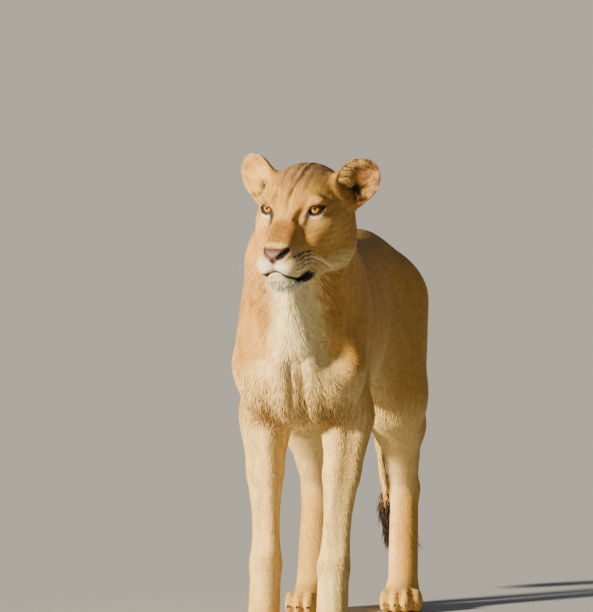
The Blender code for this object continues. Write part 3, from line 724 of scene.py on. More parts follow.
def markings(p, normal, near):
    """Colours of skin and coat at points p: tawny above, sandy sides, cream below and inside the legs."""
    x, y, z = p.T
    rough = clouds(p, 0.011, 5)
    mottle = clouds(p, 0.060, 8)
    down = ramp(normal[:, 2], 0.15, -0.75)
    spine = ramp(np.abs(x), 0.028, 0.006) * ramp(normal[:, 2], 0.5, 0.9) * ramp(y, -0.4, -0.2)
    bib = ramp(np.abs(x - 0.010 + 0.012 * rough), 0.080 + 0.10 * ramp(z, 0.66, 0.60), 0.030)
    bib = bib * ramp(y, -0.30, -0.38) * ramp(z, 0.90, 0.84)
    middle = ramp(np.abs(x - 0.006 + 0.01 * rough), 0.060, 0.015) * ramp(z, 0.58, 0.64)
    band = ramp(np.abs(np.abs(x - 0.012) - 0.062 + 0.10 * (z - 0.76) + 0.008 * rough), 0.026, 0.004)
    furrow = ramp(np.abs(x - 0.012 + 0.006 * rough), 0.022, 0.002) * ramp(np.abs(z - 0.570), 0.080, 0.03)
    streaked = 0.5 + 0.5 * np.sin(x * 260 + 3.0 * rough + 2.0 * mottle)
    fore, hind = (
        ramp(np.minimum(near[leg + "_left"], near[leg + "_right"]), 0.012, 0.0) * ramp(z, *height)
        for leg, height in (("foreleg", (0.56, 0.46)), ("hindleg", (0.60, 0.48))))
    inward = ramp(-np.sign(x) * normal[:, 0], 0.1, 0.8)
    forward = 0.85 * ramp(-normal[:, 1], 0.1, 0.8)
    fringe = np.stack([np.abs(x), y, z + 0.02 * rough], axis=-1)
    on_tail = tail_share(near, y)
    colour = painted(
        np.tile(np.asarray(TAWNY), (len(p), 1)),
        (SAND, 0.55 * ramp(z, 0.76, 0.50)),
        (CREAM, 0.85 * down * ramp(z, 0.72, 0.60) * ramp(z, 0.10, 0.30)),
        # darker saddle along the spine
        (GREY, 0.45 * ramp(normal[:, 2], 0.45, 0.98) * ramp(y, -0.40, -0.10)),
        (BROWN, 0.16 * spine),
        # breast and throat
        (CREAM, 0.92 * bib),
        (WHITE, 0.32 * bib * middle),
        # rust bands down each side of the breast: partly rust fur, partly painted shade in the folds beside
        # it
        (RUST, 0.60 * band * ramp(y, -0.28, -0.36) * ramp(np.abs(z - 0.765), 0.10, 0.02)),
        # brown down the breast's furrow: partly darker fur, partly painted shade in the crease
        (BROWN, 0.70 * furrow * ramp(y, -0.30, -0.38)),
        (RUST, 0.42 * streaked * bib * ramp(z, 0.74, 0.60)),
        # legs: pale insides and fronts, rusty fringe inside the elbow
        (CREAM, 0.60 * fore * np.maximum(inward, forward)),
        (GOLD, 0.75 * patch(fringe, (0.066, -0.345, 0.530), (0.042, 0.080, 0.046), 1.4)),
        (CREAM, 0.50 * hind * inward),
        (SAND, 0.6 * ramp(z, 0.12, 0.07)),
        # tail
        (DARK, 0.93 * on_tail * ramp(z + 0.012 * rough, 0.250, 0.205)),
    )
    # head
    q = to_head(p)
    m = both_sides(q)
    on_head = head_share(near, 0.006)
    colour = over(colour, ear_colour(face_colour(colour, q, m, rough), q, m, rough), on_head)
    # large soft clouds keep the coat from looking evenly dyed
    fore_part = np.maximum(on_head, ramp(y, -0.24, -0.38))
    combed = (0.08 + 0.12 * fore_part) * streaks(p, q, on_head)
    colour = colour * (1.0 + 0.06 * mottle + 0.05 * rough + combed)[:, None]
    leather = leather_mask(q, m) * on_head
    pink = toned(LEATHER, 1 + 0.25 * rough[:, None])
    edge = np.maximum(ramp(m[:, 0], 0.013, 0.024), ramp(q[:, 2], -0.066, -0.076))
    edge = np.maximum(edge, 0.8 * ramp(q[:, 2], -0.0450, -0.0405))
    tint = over(pink, toned(DARK, 1.5), 0.92 * edge)
    # painted shade: the nostrils' openings painted near-black, smaller on her right
    nostril_shade = nostril(m) + 0.0028 * ramp(q[:, 0], 0.004, -0.004)
    colour = painted(colour, (tint, leather), (toned(DARK, 0.4), ramp(nostril_shade, 0.0030, 0.0004) * on_head))
    return np.clip(colour, DARKEST, PALEST), leather


# ---- finishes ----
class Value:
    """A material's number or colour socket, with arithmetic that adds Math nodes."""

    def __init__(self, finish, socket):
        self.finish, self.socket = finish, socket

    def math(self, operation, first, second):
        """One Math node."""
        return self.finish.node("ShaderNodeMath", {"operation": operation}, {0: first, 1: second})

    def __add__(self, other):
        return self.math("ADD", self, other)

    def __sub__(self, other):
        return self.math("SUBTRACT", self, other)

    def __rsub__(self, other):
        return self.math("SUBTRACT", other, self)

    def __mul__(self, other):
        return self.math("MULTIPLY", self, other)

    __radd__, __rmul__ = __add__, __mul__

    def step(self, start, end):
        """0 at start, 1 at end, smooth between."""
        sockets = {"Value": self, "From Min": start, "From Max": end, "To Min": 0.0, "To Max": 1.0}
        return self.finish.node("ShaderNodeMapRange", {"interpolation_type": "SMOOTHSTEP"}, sockets)


class Finish:
    """A material in the making: its nodes and its Principled shader, with fixed values set on the shader."""

    def __init__(self, name, fixed):
        self.material = bpy.data.materials.new(name)
        self.material.use_nodes = True
        self.tree = self.material.node_tree
        self.shader = self.tree.nodes["Principled BSDF"]
        for socket, value in fixed.items():
            self.shader.inputs[socket].default_value = value

    def feed(self, socket, value):
        """Links a value to a socket, or sets a number or a colour on it."""
        if isinstance(value, Value):
            self.tree.links.new(value.socket, socket)
        elif hasattr(socket.default_value, "__len__") and len(socket.default_value) == 4:
            socket.default_value = (*value, 1.0) if len(value) == 3 else value
        else:
            socket.default_value = value

    def node(self, kind, settings=None, sockets=None, output=0):
        """A node of this kind, its settings set first and then its sockets; returns one output."""
        made = self.tree.nodes.new(kind)
        for name, value in (settings or {}).items():
            setattr(made, name, value)
        for name, value in (sockets or {}).items():
            self.feed(made.inputs[name], value)
        return Value(self, made.outputs[output])

    def attribute(self, name, output="Color"):
        """A value stored on the piece's points."""
        return self.node("ShaderNodeAttribute", {"attribute_name": name}, output=output)

    def noise(self, scale, detail=2.0, stretch=(1, 1, 1), rough=0.5):
        """Noise on Object coordinates, stretched along the axes."""
        at = self.node("ShaderNodeTexCoord", output="Object")
        at = self.node("ShaderNodeMapping", {}, {"Vector": at, "Scale": stretch})
        sockets = {"Vector": at, "Scale": scale, "Detail": detail, "Roughness": rough}
        return self.node("ShaderNodeTexNoise", {}, sockets)

    def mix(self, factor, a, b, kind="MIX"):
        """Colours a and b mixed by a factor; the Mix node's colour sockets are its 6th and 7th."""
        settings = {"data_type": "RGBA", "blend_type": kind}
        return self.node("ShaderNodeMix", settings, {0: factor, 6: a, 7: b}, 2)

    def shade(self, colour, factor):
        """A colour made lighter or darker by a number."""
        grey = self.node("ShaderNodeCombineColor", {}, {0: factor, 1: factor, 2: factor})
        return self.mix(1.0, colour, grey, "MULTIPLY")

    def bump(self, height, strength, distance):
        """A normal tipped by the slope of a height."""
        return self.node("ShaderNodeBump", {}, {"Strength": strength, "Distance": distance, "Height": height})

    def put(self, socket, value):
        """Feeds one of the shader's own sockets."""
        self.feed(self.shader.inputs[socket], value)


def skin_finish():
    """Short flat fur as fine streaks of light and dark with a bump; pebbled, moister leather on the nose."""
    made = Finish("skin_and_underfur", {"Specular IOR Level": 0.35, "Metallic": 0.0})
    colour, leather = made.attribute("coat_colour"), made.attribute("leather", "Fac")
    hairs = made.noise(420.0, 3.0, (1.0, 0.35, 0.35))
    clumps = made.noise(75.0, 2.0, (1.0, 0.5, 0.5))
    tone = (hairs * 0.5 + clumps * 0.5 - 0.5) * (1 - leather) * 0.9 + 0.92
    made.put("Base Color", made.shade(colour, tone))
    made.put("Roughness", 0.82 - leather * 0.42)
    at = made.node("ShaderNodeTexCoord", output="Object")
    pebbles = made.node("ShaderNodeTexVoronoi", {}, {"Vector": at, "Scale": 620.0})
    height = hairs * (1 - leather) + pebbles * leather * 0.5
    made.put("Normal", made.bump(height, 0.5, 0.0012))
    return made.material


def coat_finish():
    """Hair: each lock carries its own colour, dry, with a little strand noise."""
    made = Finish("coat", {"Roughness": 0.62, "Specular IOR Level": 0.28, "Metallic": 0.0})
    strands = made.noise(900.0, 1.0)
    made.put("Base Color", made.shade(made.attribute("coat_colour"), strands * 0.30 + 0.87))
    return made.material


def eye_finish():
    """Amber iris with radial fibres, a dark outer ring and a round pupil, under a wet coat."""
    fixed = {"Roughness": 0.20, "Coat Weight": 0.45, "Coat Roughness": 0.03, "Specular IOR Level": 0.35}
    made = Finish("wet_eye", fixed)
    out, turn = made.attribute("from_middle", "Fac"), made.attribute("round_middle", "Vector")
    sockets = {"Vector": turn, "Scale": 9.0, "Detail": 4.0, "Roughness": 0.6}
    fibres = made.node("ShaderNodeTexNoise", {}, sockets)
    amber = made.mix(out.step(0.0030, 0.0098), (0.62, 0.285, 0.004), (0.40, 0.135, 0.003))
    amber = made.shade(amber, fibres * 1.1 + 0.45)
    ring = made.mix(out.step(0.0085, 0.0104), amber, (0.035, 0.016, 0.008))
    white = made.mix(out.step(0.0104, 0.0125), ring, (0.10, 0.045, 0.030))
    made.put("Base Color", made.mix(out.step(0.0035, 0.0031), white, (0.003, 0.003, 0.003)))
    return made.material


def plain_finish(name, colour, roughness, spread, scale):
    """One colour with uneven tone and a fine bump, for lids, claws and whiskers."""
    made = Finish(name, {"Specular IOR Level": 0.5})
    tone = made.noise(scale, 2.0)
    made.put("Base Color", made.shade(colour, tone * spread + (1.0 - spread / 2)))
    made.put("Roughness", tone * 0.2 + (roughness - 0.1))
    made.put("Normal", made.bump(tone, 0.3, 0.0004))
    return made.material


# ---- making pieces ----
def piece_of(name, points, faces, material, shading=None):
    """Object of one mesh from an array of points and an array of faces with equal numbers of corners.

    Its faces are shaded smooth, or by the shading normals given for their corners.
    """
    mesh = bpy.data.meshes.new(name)
    corners = faces.shape[1]
    mesh.vertices.add(len(points))
    mesh.vertices.foreach_set("co", (points - MIDDLE).astype(np.float32).ravel())
    mesh.loops.add(faces.size)
    mesh.loops.foreach_set("vertex_index", faces.astype(np.int32).ravel())
    mesh.polygons.add(len(faces))
    mesh.polygons.foreach_set("loop_start", np.arange(0, faces.size, corners, dtype=np.int32))
    mesh.polygons.foreach_set("use_smooth", np.full(len(faces), True))
    mesh.update(calc_edges=True)
    if shading is not None:
        mesh.normals_split_custom_set(shading.astype(np.float32))
    mesh.materials.append(material)
    made = bpy.data.objects.new(name, mesh)
    bpy.context.scene.collection.objects.link(made)
    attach(made, "root")
    return made


def give(made, name, kind, values):
    """Stores one value a point on a piece: a FLOAT, a FLOAT_VECTOR or, with an alpha of 1, a FLOAT_COLOR."""
    store = made.data.attributes.new(name, kind, "POINT")
    if kind == "FLOAT_COLOR":
        values = np.concatenate([values, np.ones((len(values), 1))], axis=1)
    field = {"FLOAT": "value", "FLOAT_VECTOR": "vector", "FLOAT_COLOR": "color"}[kind]
    store.data.foreach_set(field, np.ascontiguousarray(values, np.float32).ravel())


def point_normals(made):
    """The normals of a piece's points."""
    normals = np.empty(len(made.data.vertices) * 3, np.float32)
    made.data.vertex_normals.foreach_get("vector", normals)
    return normals.reshape(-1, 3).astype(float)


def unit(v):
    """Vectors over their own lengths."""
    return v / np.maximum(np.linalg.norm(v, axis=-1, keepdims=True), 1e-9)


# where the form's origin lies: the CAD eyes are balls whose middles the form knows
eye_middles = [np.mean(box, axis=0) for box in (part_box("eye_left"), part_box("eye_right"))]
MIDDLE = from_head([EYE_BALL, np.array(EYE_BALL) * (-1, 1, 1)]).mean(axis=0) - np.mean(eye_middles, axis=0)
MIDDLE[2] = 0.0

FLESH = ["trunk", "neck", "head", "lower_jaw", "nose", "tail", "tail_tuft"]
for _, word in SIDES:
    FLESH += [part + "_" + word for part in ("ear", "foreleg", "forepaw", "hindleg", "hindpaw")]

skin_points, skin_quads = skin_mesh()
skin = piece_of("skin", skin_points, skin_quads, skin_finish())
skin_normals = point_normals(skin)
skin_near = near_parts(skin_points)
skin_colour, skin_leather = markings(skin_points, skin_normals, skin_near)
give(skin, "coat_colour", "FLOAT_COLOR", skin_colour)
give(skin, "leather", "FLOAT", skin_leather)
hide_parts(*FLESH)


# ---- the eyes ----
def turned_surface(profile, axes, at, segments=48):
    """A surface turned about the second axis of axes: a ring for each (out, along) pair of the profile."""
    angle = np.linspace(0, 2 * math.pi, segments, endpoint=False)
    out, along = np.array(profile).T
    ring = np.stack([
        out[:, None] * np.cos(angle), np.broadcast_to(along[:, None], (len(out), segments)),
        out[:, None] * np.sin(angle),
    ], axis=-1)
    points = ring.reshape(-1, 3)
    i, j = np.meshgrid(np.arange(len(out) - 1), np.arange(segments), indexing="ij")
    following = (j + 1) % segments
    faces = np.stack([i * segments + j, (i + 1) * segments + j, (i + 1) * segments + following,
                      i * segments + following], axis=-1).reshape(-1, 4)
    return points @ axes.T + at, faces, points


def eye(side, word, finish):
    """Eyeball with a slightly bulging cornea; its pole looks where she does."""
    gaze = HEAD_AXES @ turned(-7.0, -side * 12.0)
    at = from_head((side * EYE_BALL[0], EYE_BALL[1], EYE_BALL[2]))
    angle = np.linspace(0.002, math.pi - 0.002, 40)
    radius = EYE_RADIUS - 0.0009 + 0.0009 * np.exp(-(angle / 0.55) ** 4)
    profile = np.stack([radius * np.sin(angle), -radius * np.cos(angle)], axis=-1)
    points, faces, local = turned_surface(profile, gaze, at)
    ball = piece_of("eye_" + word + "_ball", points, faces, finish)
    out = np.hypot(local[:, 0], local[:, 2])
    give(ball, "from_middle", "FLOAT", np.where(local[:, 1] < 0, out, EYE_RADIUS))
    around = unit(np.stack([local[:, 0], 0 * out, local[:, 2]], axis=-1)) + out[:, None] * (0, 60, 0)
    give(ball, "round_middle", "FLOAT_VECTOR", around)
    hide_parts("eye_" + word)


wet_eye = eye_finish()
for side, word in SIDES:
    eye(side, word, wet_eye)


# ---- strands: lids, whiskers, claws ----
def strands(paths, radii, sides, flat=1.0, broad=(0, 0, 1)):
    """Closed tubes, one along each row of paths, tapering to a point at both ends.

    A ring of sides points stands square to the path at each inner station; flat squeezes it along broad.
    """
    count, stations = paths.shape[:2]
    along = unit(np.gradient(paths, axis=1))
    first = unit(np.cross(along, np.asarray(broad, float)))
    second = np.cross(first, along)
    angle = np.linspace(0, 2 * math.pi, sides, endpoint=False)
    ring = first[:, :, None] * np.cos(angle)[:, None] + second[:, :, None] * (flat * np.sin(angle))[:, None]
    inner = (paths[:, :, None] + ring * radii[:, :, None, None])[:, 1:-1].reshape(count, -1, 3)
    points = np.concatenate([paths[:, :1], inner, paths[:, -1:]], axis=1)
    i, j = np.meshgrid(np.arange(stations - 3), np.arange(sides), indexing="ij")
    corner = 1 + i * sides
    turn = (j + 1) % sides
    quads = np.stack([corner + j, corner + turn, corner + sides + turn, corner + sides + j], axis=-1)
    quads = quads.reshape(-1, 4)
    triangles = np.concatenate([quads[:, [0, 1, 2]], quads[:, [0, 2, 3]]])
    j = np.arange(sides)
    turn, last = (j + 1) % sides, 1 + (stations - 3) * sides
    root = np.stack([0 * j, 1 + turn, 1 + j], axis=-1)
    tip = np.stack([0 * j + points.shape[1] - 1, last + j, last + turn], axis=-1)
    faces = np.concatenate([triangles, root, tip])
    shift = (np.arange(count) * points.shape[1])[:, None, None]
    return points.reshape(-1, 3), (faces[None] + shift).reshape(-1, 3)


def lid(side, word, name, upper, finish):
    """The moist dark edge of one eyelid, lying on the eyeball along the opening."""
    u = np.linspace(-1.0, 1.0, 40)
    top, low = lid_heights(u)
    v = (top if upper else -low) * 1.02
    across = u * EYE_HALF * 1.02
    reach = EYE_RADIUS + 0.0006
    depth = -np.sqrt(np.maximum(reach ** 2 - across ** 2 - v ** 2, 0.0))
    c, s = math.cos(math.radians(EYE_SLANT)), math.sin(math.radians(EYE_SLANT))
    local = np.stack([across * c - v * s, depth, across * s + v * c], axis=-1)
    m = local @ LOOK.T + np.asarray(EYE_BALL)
    m[:, 0] *= side
    path = from_head(m)[None]
    radius = (0.0007 + 0.0011 * np.sqrt(np.clip(1 - u * u, 0, 1)))[None]
    points, faces = strands(path, radius, 8, 1.0, tuple(HEAD_AXES[:, 1]))
    made = piece_of("lid_" + name + "_" + word, points, faces, finish)


dark_rim = plain_finish("dark_moist_rim", (0.022, 0.015, 0.012), 0.38, 0.5, 700.0)
for side, word in SIDES:
    lid(side, word, "upper", True, dark_rim)
    lid(side, word, "lower", False, dark_rim)


# ---- the coat ----
rng = np.random.default_rng(12)


def on_ears(q):
    """How much points of the head belong to an ear, and their places across, before and up it."""
    m = q.copy()
    m[:, 0] = np.abs(m[:, 0])
    at = (ear_side(q, m) - np.array(EAR_ROOT)) @ EAR_AXES
    return ramp(at[:, 2], 0.004, 0.022) * ramp(m[:, 0], 0.045, 0.062), at


def nearest_station(p, line):
    """For each point, the number of the line's point that lies nearest."""
    return np.argmin(((p[:, None, :] - line[None]) ** 2).sum(-1), axis=1)


def lie_of_coat(p, normal, near):
    """The way the hair points: off the nose, back over the trunk, down the legs, along ears and tail."""
    _, y, z = p.T
    flow = unit(p - from_head(NOSE_TIP))
    for way, share in (
        ((0, 1.0, -0.22), ramp(y, -0.42, -0.12)),
        ((0, 0.25, -1.0), ramp(y, 0.40, 0.60)),
        ((0, 0.16, -1.0), ramp(z, 0.60, 0.44)),
        ((0, -1.0, -0.35), ramp(z, 0.090, 0.050)),
    ):
        flow = mixed(flow, np.array(way), share[:, None])
    line, _ = tail_line()
    on_tail = ramp(near["tail"], 0.016, 0.004) * ramp(y, 0.57, 0.62)
    which = np.flatnonzero(on_tail > 0)
    along = unit(np.gradient(line, axis=0))[nearest_station(p[which], line)]
    flow[which] = mixed(flow[which], along, on_tail[which, None])
    q = to_head(p)
    ear, _ = on_ears(q)
    up = np.tile(EAR_AXES[:, 2], (len(p), 1))
    up[:, 0] *= np.sign(q[:, 0])
    ear *= head_share(near, 0.006)
    flow = mixed(flow, up @ HEAD_AXES.T, ear[:, None])
    swirl = np.stack([clouds(p, 0.045, 20 + k) for k in range(3)], axis=-1)
    flow = unit(flow) + 0.16 * swirl * (1 - ear)[:, None]
    flow -= (flow * normal).sum(-1, keepdims=True) * normal
    return unit(flow)


def coat_measures(p, normal, near):
    """Length, width and lift, the tip's height as a share of the length, of a lock rooted at each point."""
    x, y, z = p.T
    q = to_head(p)
    m = both_sides(q)
    length = 0.015 + 0.009 * ramp(normal[:, 2], -0.1, -0.8) * ramp(z, 0.42, 0.50)
    length += 0.005 * ramp(y, -0.28, -0.38) * ramp(np.abs(x), 0.12, 0.04)
    length += 0.002 * ramp(near["neck"], 0.01, -0.01)
    length -= 0.005 * ramp(z, 0.48, 0.36)
    length -= 0.004 * ramp(z, 0.16, 0.07)
    back_of_thigh = ramp(y, 0.50, 0.58) * ramp(z, 0.40, 0.50) * ramp(z, 0.80, 0.70)
    length += 0.008 * back_of_thigh
    width = length * (0.100 - 0.026 * ramp(y, -0.25, -0.38) * ramp(z, 0.46, 0.54))
    lift = 0.065 + 0.12 * ramp(normal[:, 2], -0.1, -0.8) * ramp(z, 0.40, 0.48) - 0.025 * ramp(z, 0.50, 0.40)
    lift = lift - 0.022 * ramp(y, -0.24, -0.36) * ramp(z, 0.46, 0.54)
    on_head = head_share(near, 0.012)
    face = 0.0050 + 0.0060 * ramp(q[:, 1], -0.060, 0.060)
    face += 0.010 * ramp(q[:, 1], 0.030, 0.100) * ramp(q[:, 2], -0.030, -0.090)
    face += 0.005 * patch(q, (0, -0.090, -0.140), (0.040, 0.060, 0.020), 0.8)
    face -= 0.0012 * ramp(q[:, 1], -0.080, -0.110)
    ear, _ = on_ears(q)
    face = mixed(face, 0.0062, ear)
    length = mixed(length, face, on_head)
    width = mixed(width, face * 0.125, on_head)
    lift = mixed(lift, 0.075 + 0.11 * ramp(face, 0.010, 0.018), on_head)
    across, _, up = eye_plane(m)
    rim = np.hypot(across / (EYE_HALF * 1.25), (up + 0.001) / 0.0135)
    beside_eye = ramp(rim, 1.6, 1.0) * ramp(m[:, 1], 0.03, 0.01) * on_head
    length = length * (1 - 0.45 * beside_eye)
    on_tail = tail_share(near, y)
    return mixed(length, 0.015, on_tail), mixed(width, 0.0026, on_tail), lift


def bare(q, m, leather, near):
    """Where no hair grows: nose leather, lips and their corners, and between the lids."""
    on_head = near["neck"] - near["head"] > 0
    across, _, up = eye_plane(m)
    top, low = lid_heights(across / EYE_HALF)
    eye = (np.abs(across) < EYE_HALF + 0.001) & (up < top + 0.0022) & (up > -low - 0.0022) & (m[:, 1] < 0.02)
    lips = (np.abs(q[:, 2] - mouth_height(m)) < 0.0022) & (q[:, 1] < -0.040)
    corner = patch(m, LIP_CORNER, LIP_CORNER_SIZE, 0.3) > 0.7
    return on_head & (eye | lips | corner | (leather > 0.35))


def sown(points, quads, weight, count):
    """Places on the skin, as many to an area as its weight asks, spread evenly along the faces' order."""
    corner = points[quads]
    area = 0.5 * np.linalg.norm(np.cross(corner[:, 2] - corner[:, 0], corner[:, 3] - corner[:, 1]), axis=-1)
    share = np.cumsum(area * weight[quads].mean(axis=1))
    asked = (np.arange(count) + rng.uniform(0, 1, count)) / count * share[-1]
    face = np.minimum(np.searchsorted(share, asked), len(quads) - 1)
    u, v = rng.uniform(0, 1, (2, count))
    mix = np.stack([(1 - u) * (1 - v), u * (1 - v), u * v, (1 - u) * v], axis=-1)
    return face, mix


def locks(p, normal, along, length, width, lift, curl):
    """Spindles of five points: a root under the skin, a ridge and two sides a third of the way, and a tip.

    The ridge stands lift above the skin and the tip bends back down towards it.
    """
    side = np.cross(along, normal)
    rise = (length * lift)[:, None] * normal
    belly = p + along * (0.40 * length)[:, None] + 0.62 * rise + side * (0.35 * curl * length)[:, None]
    half = side * (0.5 * width)[:, None]
    root = p - normal * 0.0008 - along * (0.06 * length)[:, None]
    ridge = belly + normal * (0.16 * width)[:, None]
    tip = p + along * length[:, None] + 0.80 * rise + side * (curl * length)[:, None]
    points = np.stack([root, belly - half, ridge, belly + half, tip], axis=1).reshape(-1, 3)
    star = np.array([[0, 1, 2], [0, 2, 3], [4, 2, 1], [4, 3, 2], [0, 3, 1], [4, 1, 3]])
    faces = (star[None] + (np.arange(len(p)) * 5)[:, None, None]).reshape(-1, 3)
    return points, faces


def soft_shading(points, faces, normal):
    """Shading normals for the corners of locks: the four upper faces' turned by SOFTNESS to the skin's."""
    corner = points[faces]
    own = unit(np.cross(corner[:, 1] - corner[:, 0], corner[:, 2] - corner[:, 0])).reshape(-1, 6, 3)
    soft = own.copy()
    soft[:, :4] = unit((1 - SOFTNESS) * own[:, :4] + SOFTNESS * normal[:, None])
    soft = np.where((soft * own).sum(-1, keepdims=True) > 0.1, soft, own)
    return np.repeat(soft.reshape(-1, 3), 3, axis=0)


# a lock's five points on the OFBake map, about its root's place
LOCK_PATCH = np.array([[0.0, -0.0015], [-0.0011, -0.0002], [0.0, 0.0004], [0.0011, -0.0002], [0.0, 0.0015]])


def turn_share(across, along):
    """The angle from along towards across, as a share of a turn between 0 and 1."""
    return np.arctan2(across, along) / (2 * math.pi) + 0.5


def unwrapped(p, near):
    """Places of roots on an unwrap of the skin: trunk, legs and tail rolled off, head and ears laid flat."""
    x, y, z = p.T
    back = np.clip((y + 0.62) / 1.30, 0, 1)
    place = np.stack([0.01 + 0.47 * turn_share(x, z - 0.68), 0.01 + 0.98 * back], axis=-1)
    q = to_head(p)
    v = q - (0, 0.030, -0.035)
    height = np.arcsin(v[:, 2] / np.linalg.norm(v, axis=-1)) / math.pi + 0.5
    head_place = np.stack([0.51 + 0.48 * turn_share(v[:, 0], -v[:, 1]), 0.56 + 0.43 * height], axis=-1)
    on_head = near["neck"] > near["head"]
    place[on_head] = head_place[on_head]
    column = 0.51
    for name, paws in (("fore", FORE_PAWS), ("hind", HIND_PAWS)):
        for side, word in SIDES:
            leg = np.minimum(near[name + "leg_" + word], near[name + "paw_" + word])
            mine = (leg < np.minimum(near["trunk"], near["neck"])) & (z < 0.72)
            turn = turn_share(x - paws[side][0], -(y - paws[side][1] - 0.045))
            rolled_off = np.stack([column + 0.11 * turn, 0.27 + 0.27 * np.clip(z / 0.72, 0, 1)], axis=-1)
            place[mine] = rolled_off[mine]
            column += 0.12
    line, _ = tail_line()
    mine = np.flatnonzero((near["tail"] < near["trunk"]) & (y > 0.60))
    off = p[mine] - line[nearest_station(p[mine], line)]
    turn = turn_share(off[:, 0], off[:, 1])
    place[mine] = np.stack([0.51 + 0.10 * turn, 0.01 + 0.24 * z[mine] / 0.85], axis=-1)
    ear, at = on_ears(q)
    for k, (side, face) in enumerate(((1, 1), (1, -1), (-1, 1), (-1, -1))):
        mine = (ear > 0.5) & on_head & (np.sign(q[:, 0]) == side) & (np.sign(at[:, 1] - 0.004) == face)
        flat = np.stack([0.63 + 0.09 * k + 0.08 * np.clip(at[:, 0] / 0.11 + 0.5, 0, 1),
                         0.01 + 0.24 * np.clip(at[:, 2] / 0.12, 0, 1)], axis=-1)
        place[mine] = flat[mine]
    return np.clip(place, 0.003, 0.997)


hair_coat = coat_finish()


def coat_piece(name, points, faces, colour, places, patch_shape, shading=None):
    """One piece of the coat, with its colours and its OFBake map: each lock a patch at its root's place."""
    made = piece_of(name, points, faces, hair_coat, shading)
    give(made, "coat_colour", "FLOAT_COLOR", colour)
    flat = (places[:, None, :] + patch_shape[None]).reshape(-1, 2)
    uv = made.data.uv_layers.new(name="OFBake")
    uv.data.foreach_set("uv", np.ascontiguousarray(flat[faces.ravel()], np.float32).ravel())


def lock_colours(colour, tone, tip):
    """Colours of the five points of each lock: a darker root, its own tone, and a tip changed by tip."""
    shade = np.stack([0.84 * tone, 0.97 * tone, 1.02 * tone, 0.97 * tone, tip * tone], axis=1)
    return np.clip((colour[:, None, :] * shade[:, :, None]).reshape(-1, 3), DARKEST, PALEST)


def body_coat():
    """Locks all over the skin, in pieces that each cover the whole animal thinly."""
    length, width, _ = coat_measures(skin_points, skin_normals, skin_near)
    weight = (1.0 + 0.35 * ramp(skin_points[:, 1], -0.24, -0.36)) / (length * width) ** 0.72
    count = LOCKS // 1
    face, mix = sown(skin_points, skin_quads, weight, count)
    corners = skin_quads[face]
    p = (skin_points[corners] * mix[:, :, None]).sum(axis=1)
    normal = unit((skin_normals[corners] * mix[:, :, None]).sum(axis=1))
    q = to_head(p)
    m = both_sides(q)
    near = near_parts(p)
    colour, leather = markings(p, normal, near)
    keep = ~bare(q, m, leather, near) & (p[:, 2] > 0.004)
    p, normal, colour = p[keep], normal[keep], colour[keep]
    near = {name: d[keep] for name, d in near.items()}
    length, width, lift = coat_measures(p, normal, near)
    count = len(p)
    along = lie_of_coat(p, normal, near)
    length = length * rng.uniform(0.75, 1.2, count)
    lift = lift * rng.uniform(0.6, 1.35, count)
    curl = rng.normal(0, 0.08, count)
    clump = clouds(p, 0.016, 40)
    tone = (1 + 0.11 * clump) * rng.uniform(0.85, 1.15, count)
    tips = rng.uniform(0.98, 1.22, count)
    places = unwrapped(p, near)
    for k in range(COAT_PIECES):
        pick = slice(k, None, COAT_PIECES)
        points, faces = locks(*(v[pick] for v in (p, normal, along, length, width, lift, curl)))
        points[:, 2] = np.maximum(points[:, 2], FLOOR_GAP)
        hue = lock_colours(colour[pick], tone[pick], tips[pick])
        shading = soft_shading(points, faces, normal[pick])
        coat_piece("coat_%d" % (k + 1), points, faces, hue, places[pick], LOCK_PATCH, shading)


body_coat()


# ---- longer hair, whiskers and claws ----
def on_skin(wanted, inside):
    """The skin's nearest points to the wanted ones, among those the mask lets in, with their normals."""
    candidates = np.flatnonzero(inside)
    nearest = [np.argmin(((skin_points[candidates] - w) ** 2).sum(-1)) for w in wanted]
    chosen = candidates[np.array(nearest)]
    return skin_points[chosen], skin_normals[chosen]


def bent(root, way, pull, length, stations):
    """Paths of hairs: they leave the root along way and bend towards pull with the square of the distance."""
    t = np.linspace(0, 1, stations)[None, :, None]
    return root[:, None] + length[:, None, None] * (t * way[:, None] + t * t * pull[:, None])


def strand_patch(stations, sides):
    """A strand's own small patch of the OFBake map: rings in rows from the root's point to the tip's."""
    rows = np.linspace(-0.0015, 0.0015, stations)
    angle = np.linspace(0, 2 * math.pi, sides, endpoint=False)
    rings = [[0.0011 * math.cos(a), row + 0.0002 * math.sin(a)] for row in rows[1:-1] for a in angle]
    return np.array([[0.0, rows[0]]] + rings + [[0.0, rows[-1]]])


def hair_piece(name, paths, radius, colour):
    """Long thin hairs, thickest a third of the way along, their root half darker than the tip."""
    stations = paths.shape[1]
    t = np.linspace(0, 1, stations)
    swell = np.sqrt(np.clip(np.sin(math.pi * t ** 0.7), 0.0, 1.0)) * (1.0 - 0.45 * t)
    points, faces = strands(paths, radius[:, None] * swell, 3)
    shade = np.concatenate([[0.80], np.repeat(0.85 + 0.25 * t[1:-1], 3), [1.12]])
    hue = np.clip((colour[:, None, :] * shade[None, :, None]).reshape(-1, 3), DARKEST, PALEST)
    places = unwrapped(paths[:, 0], near_parts(paths[:, 0]))
    coat_piece(name, points, faces, hue, places, strand_patch(stations, 3))


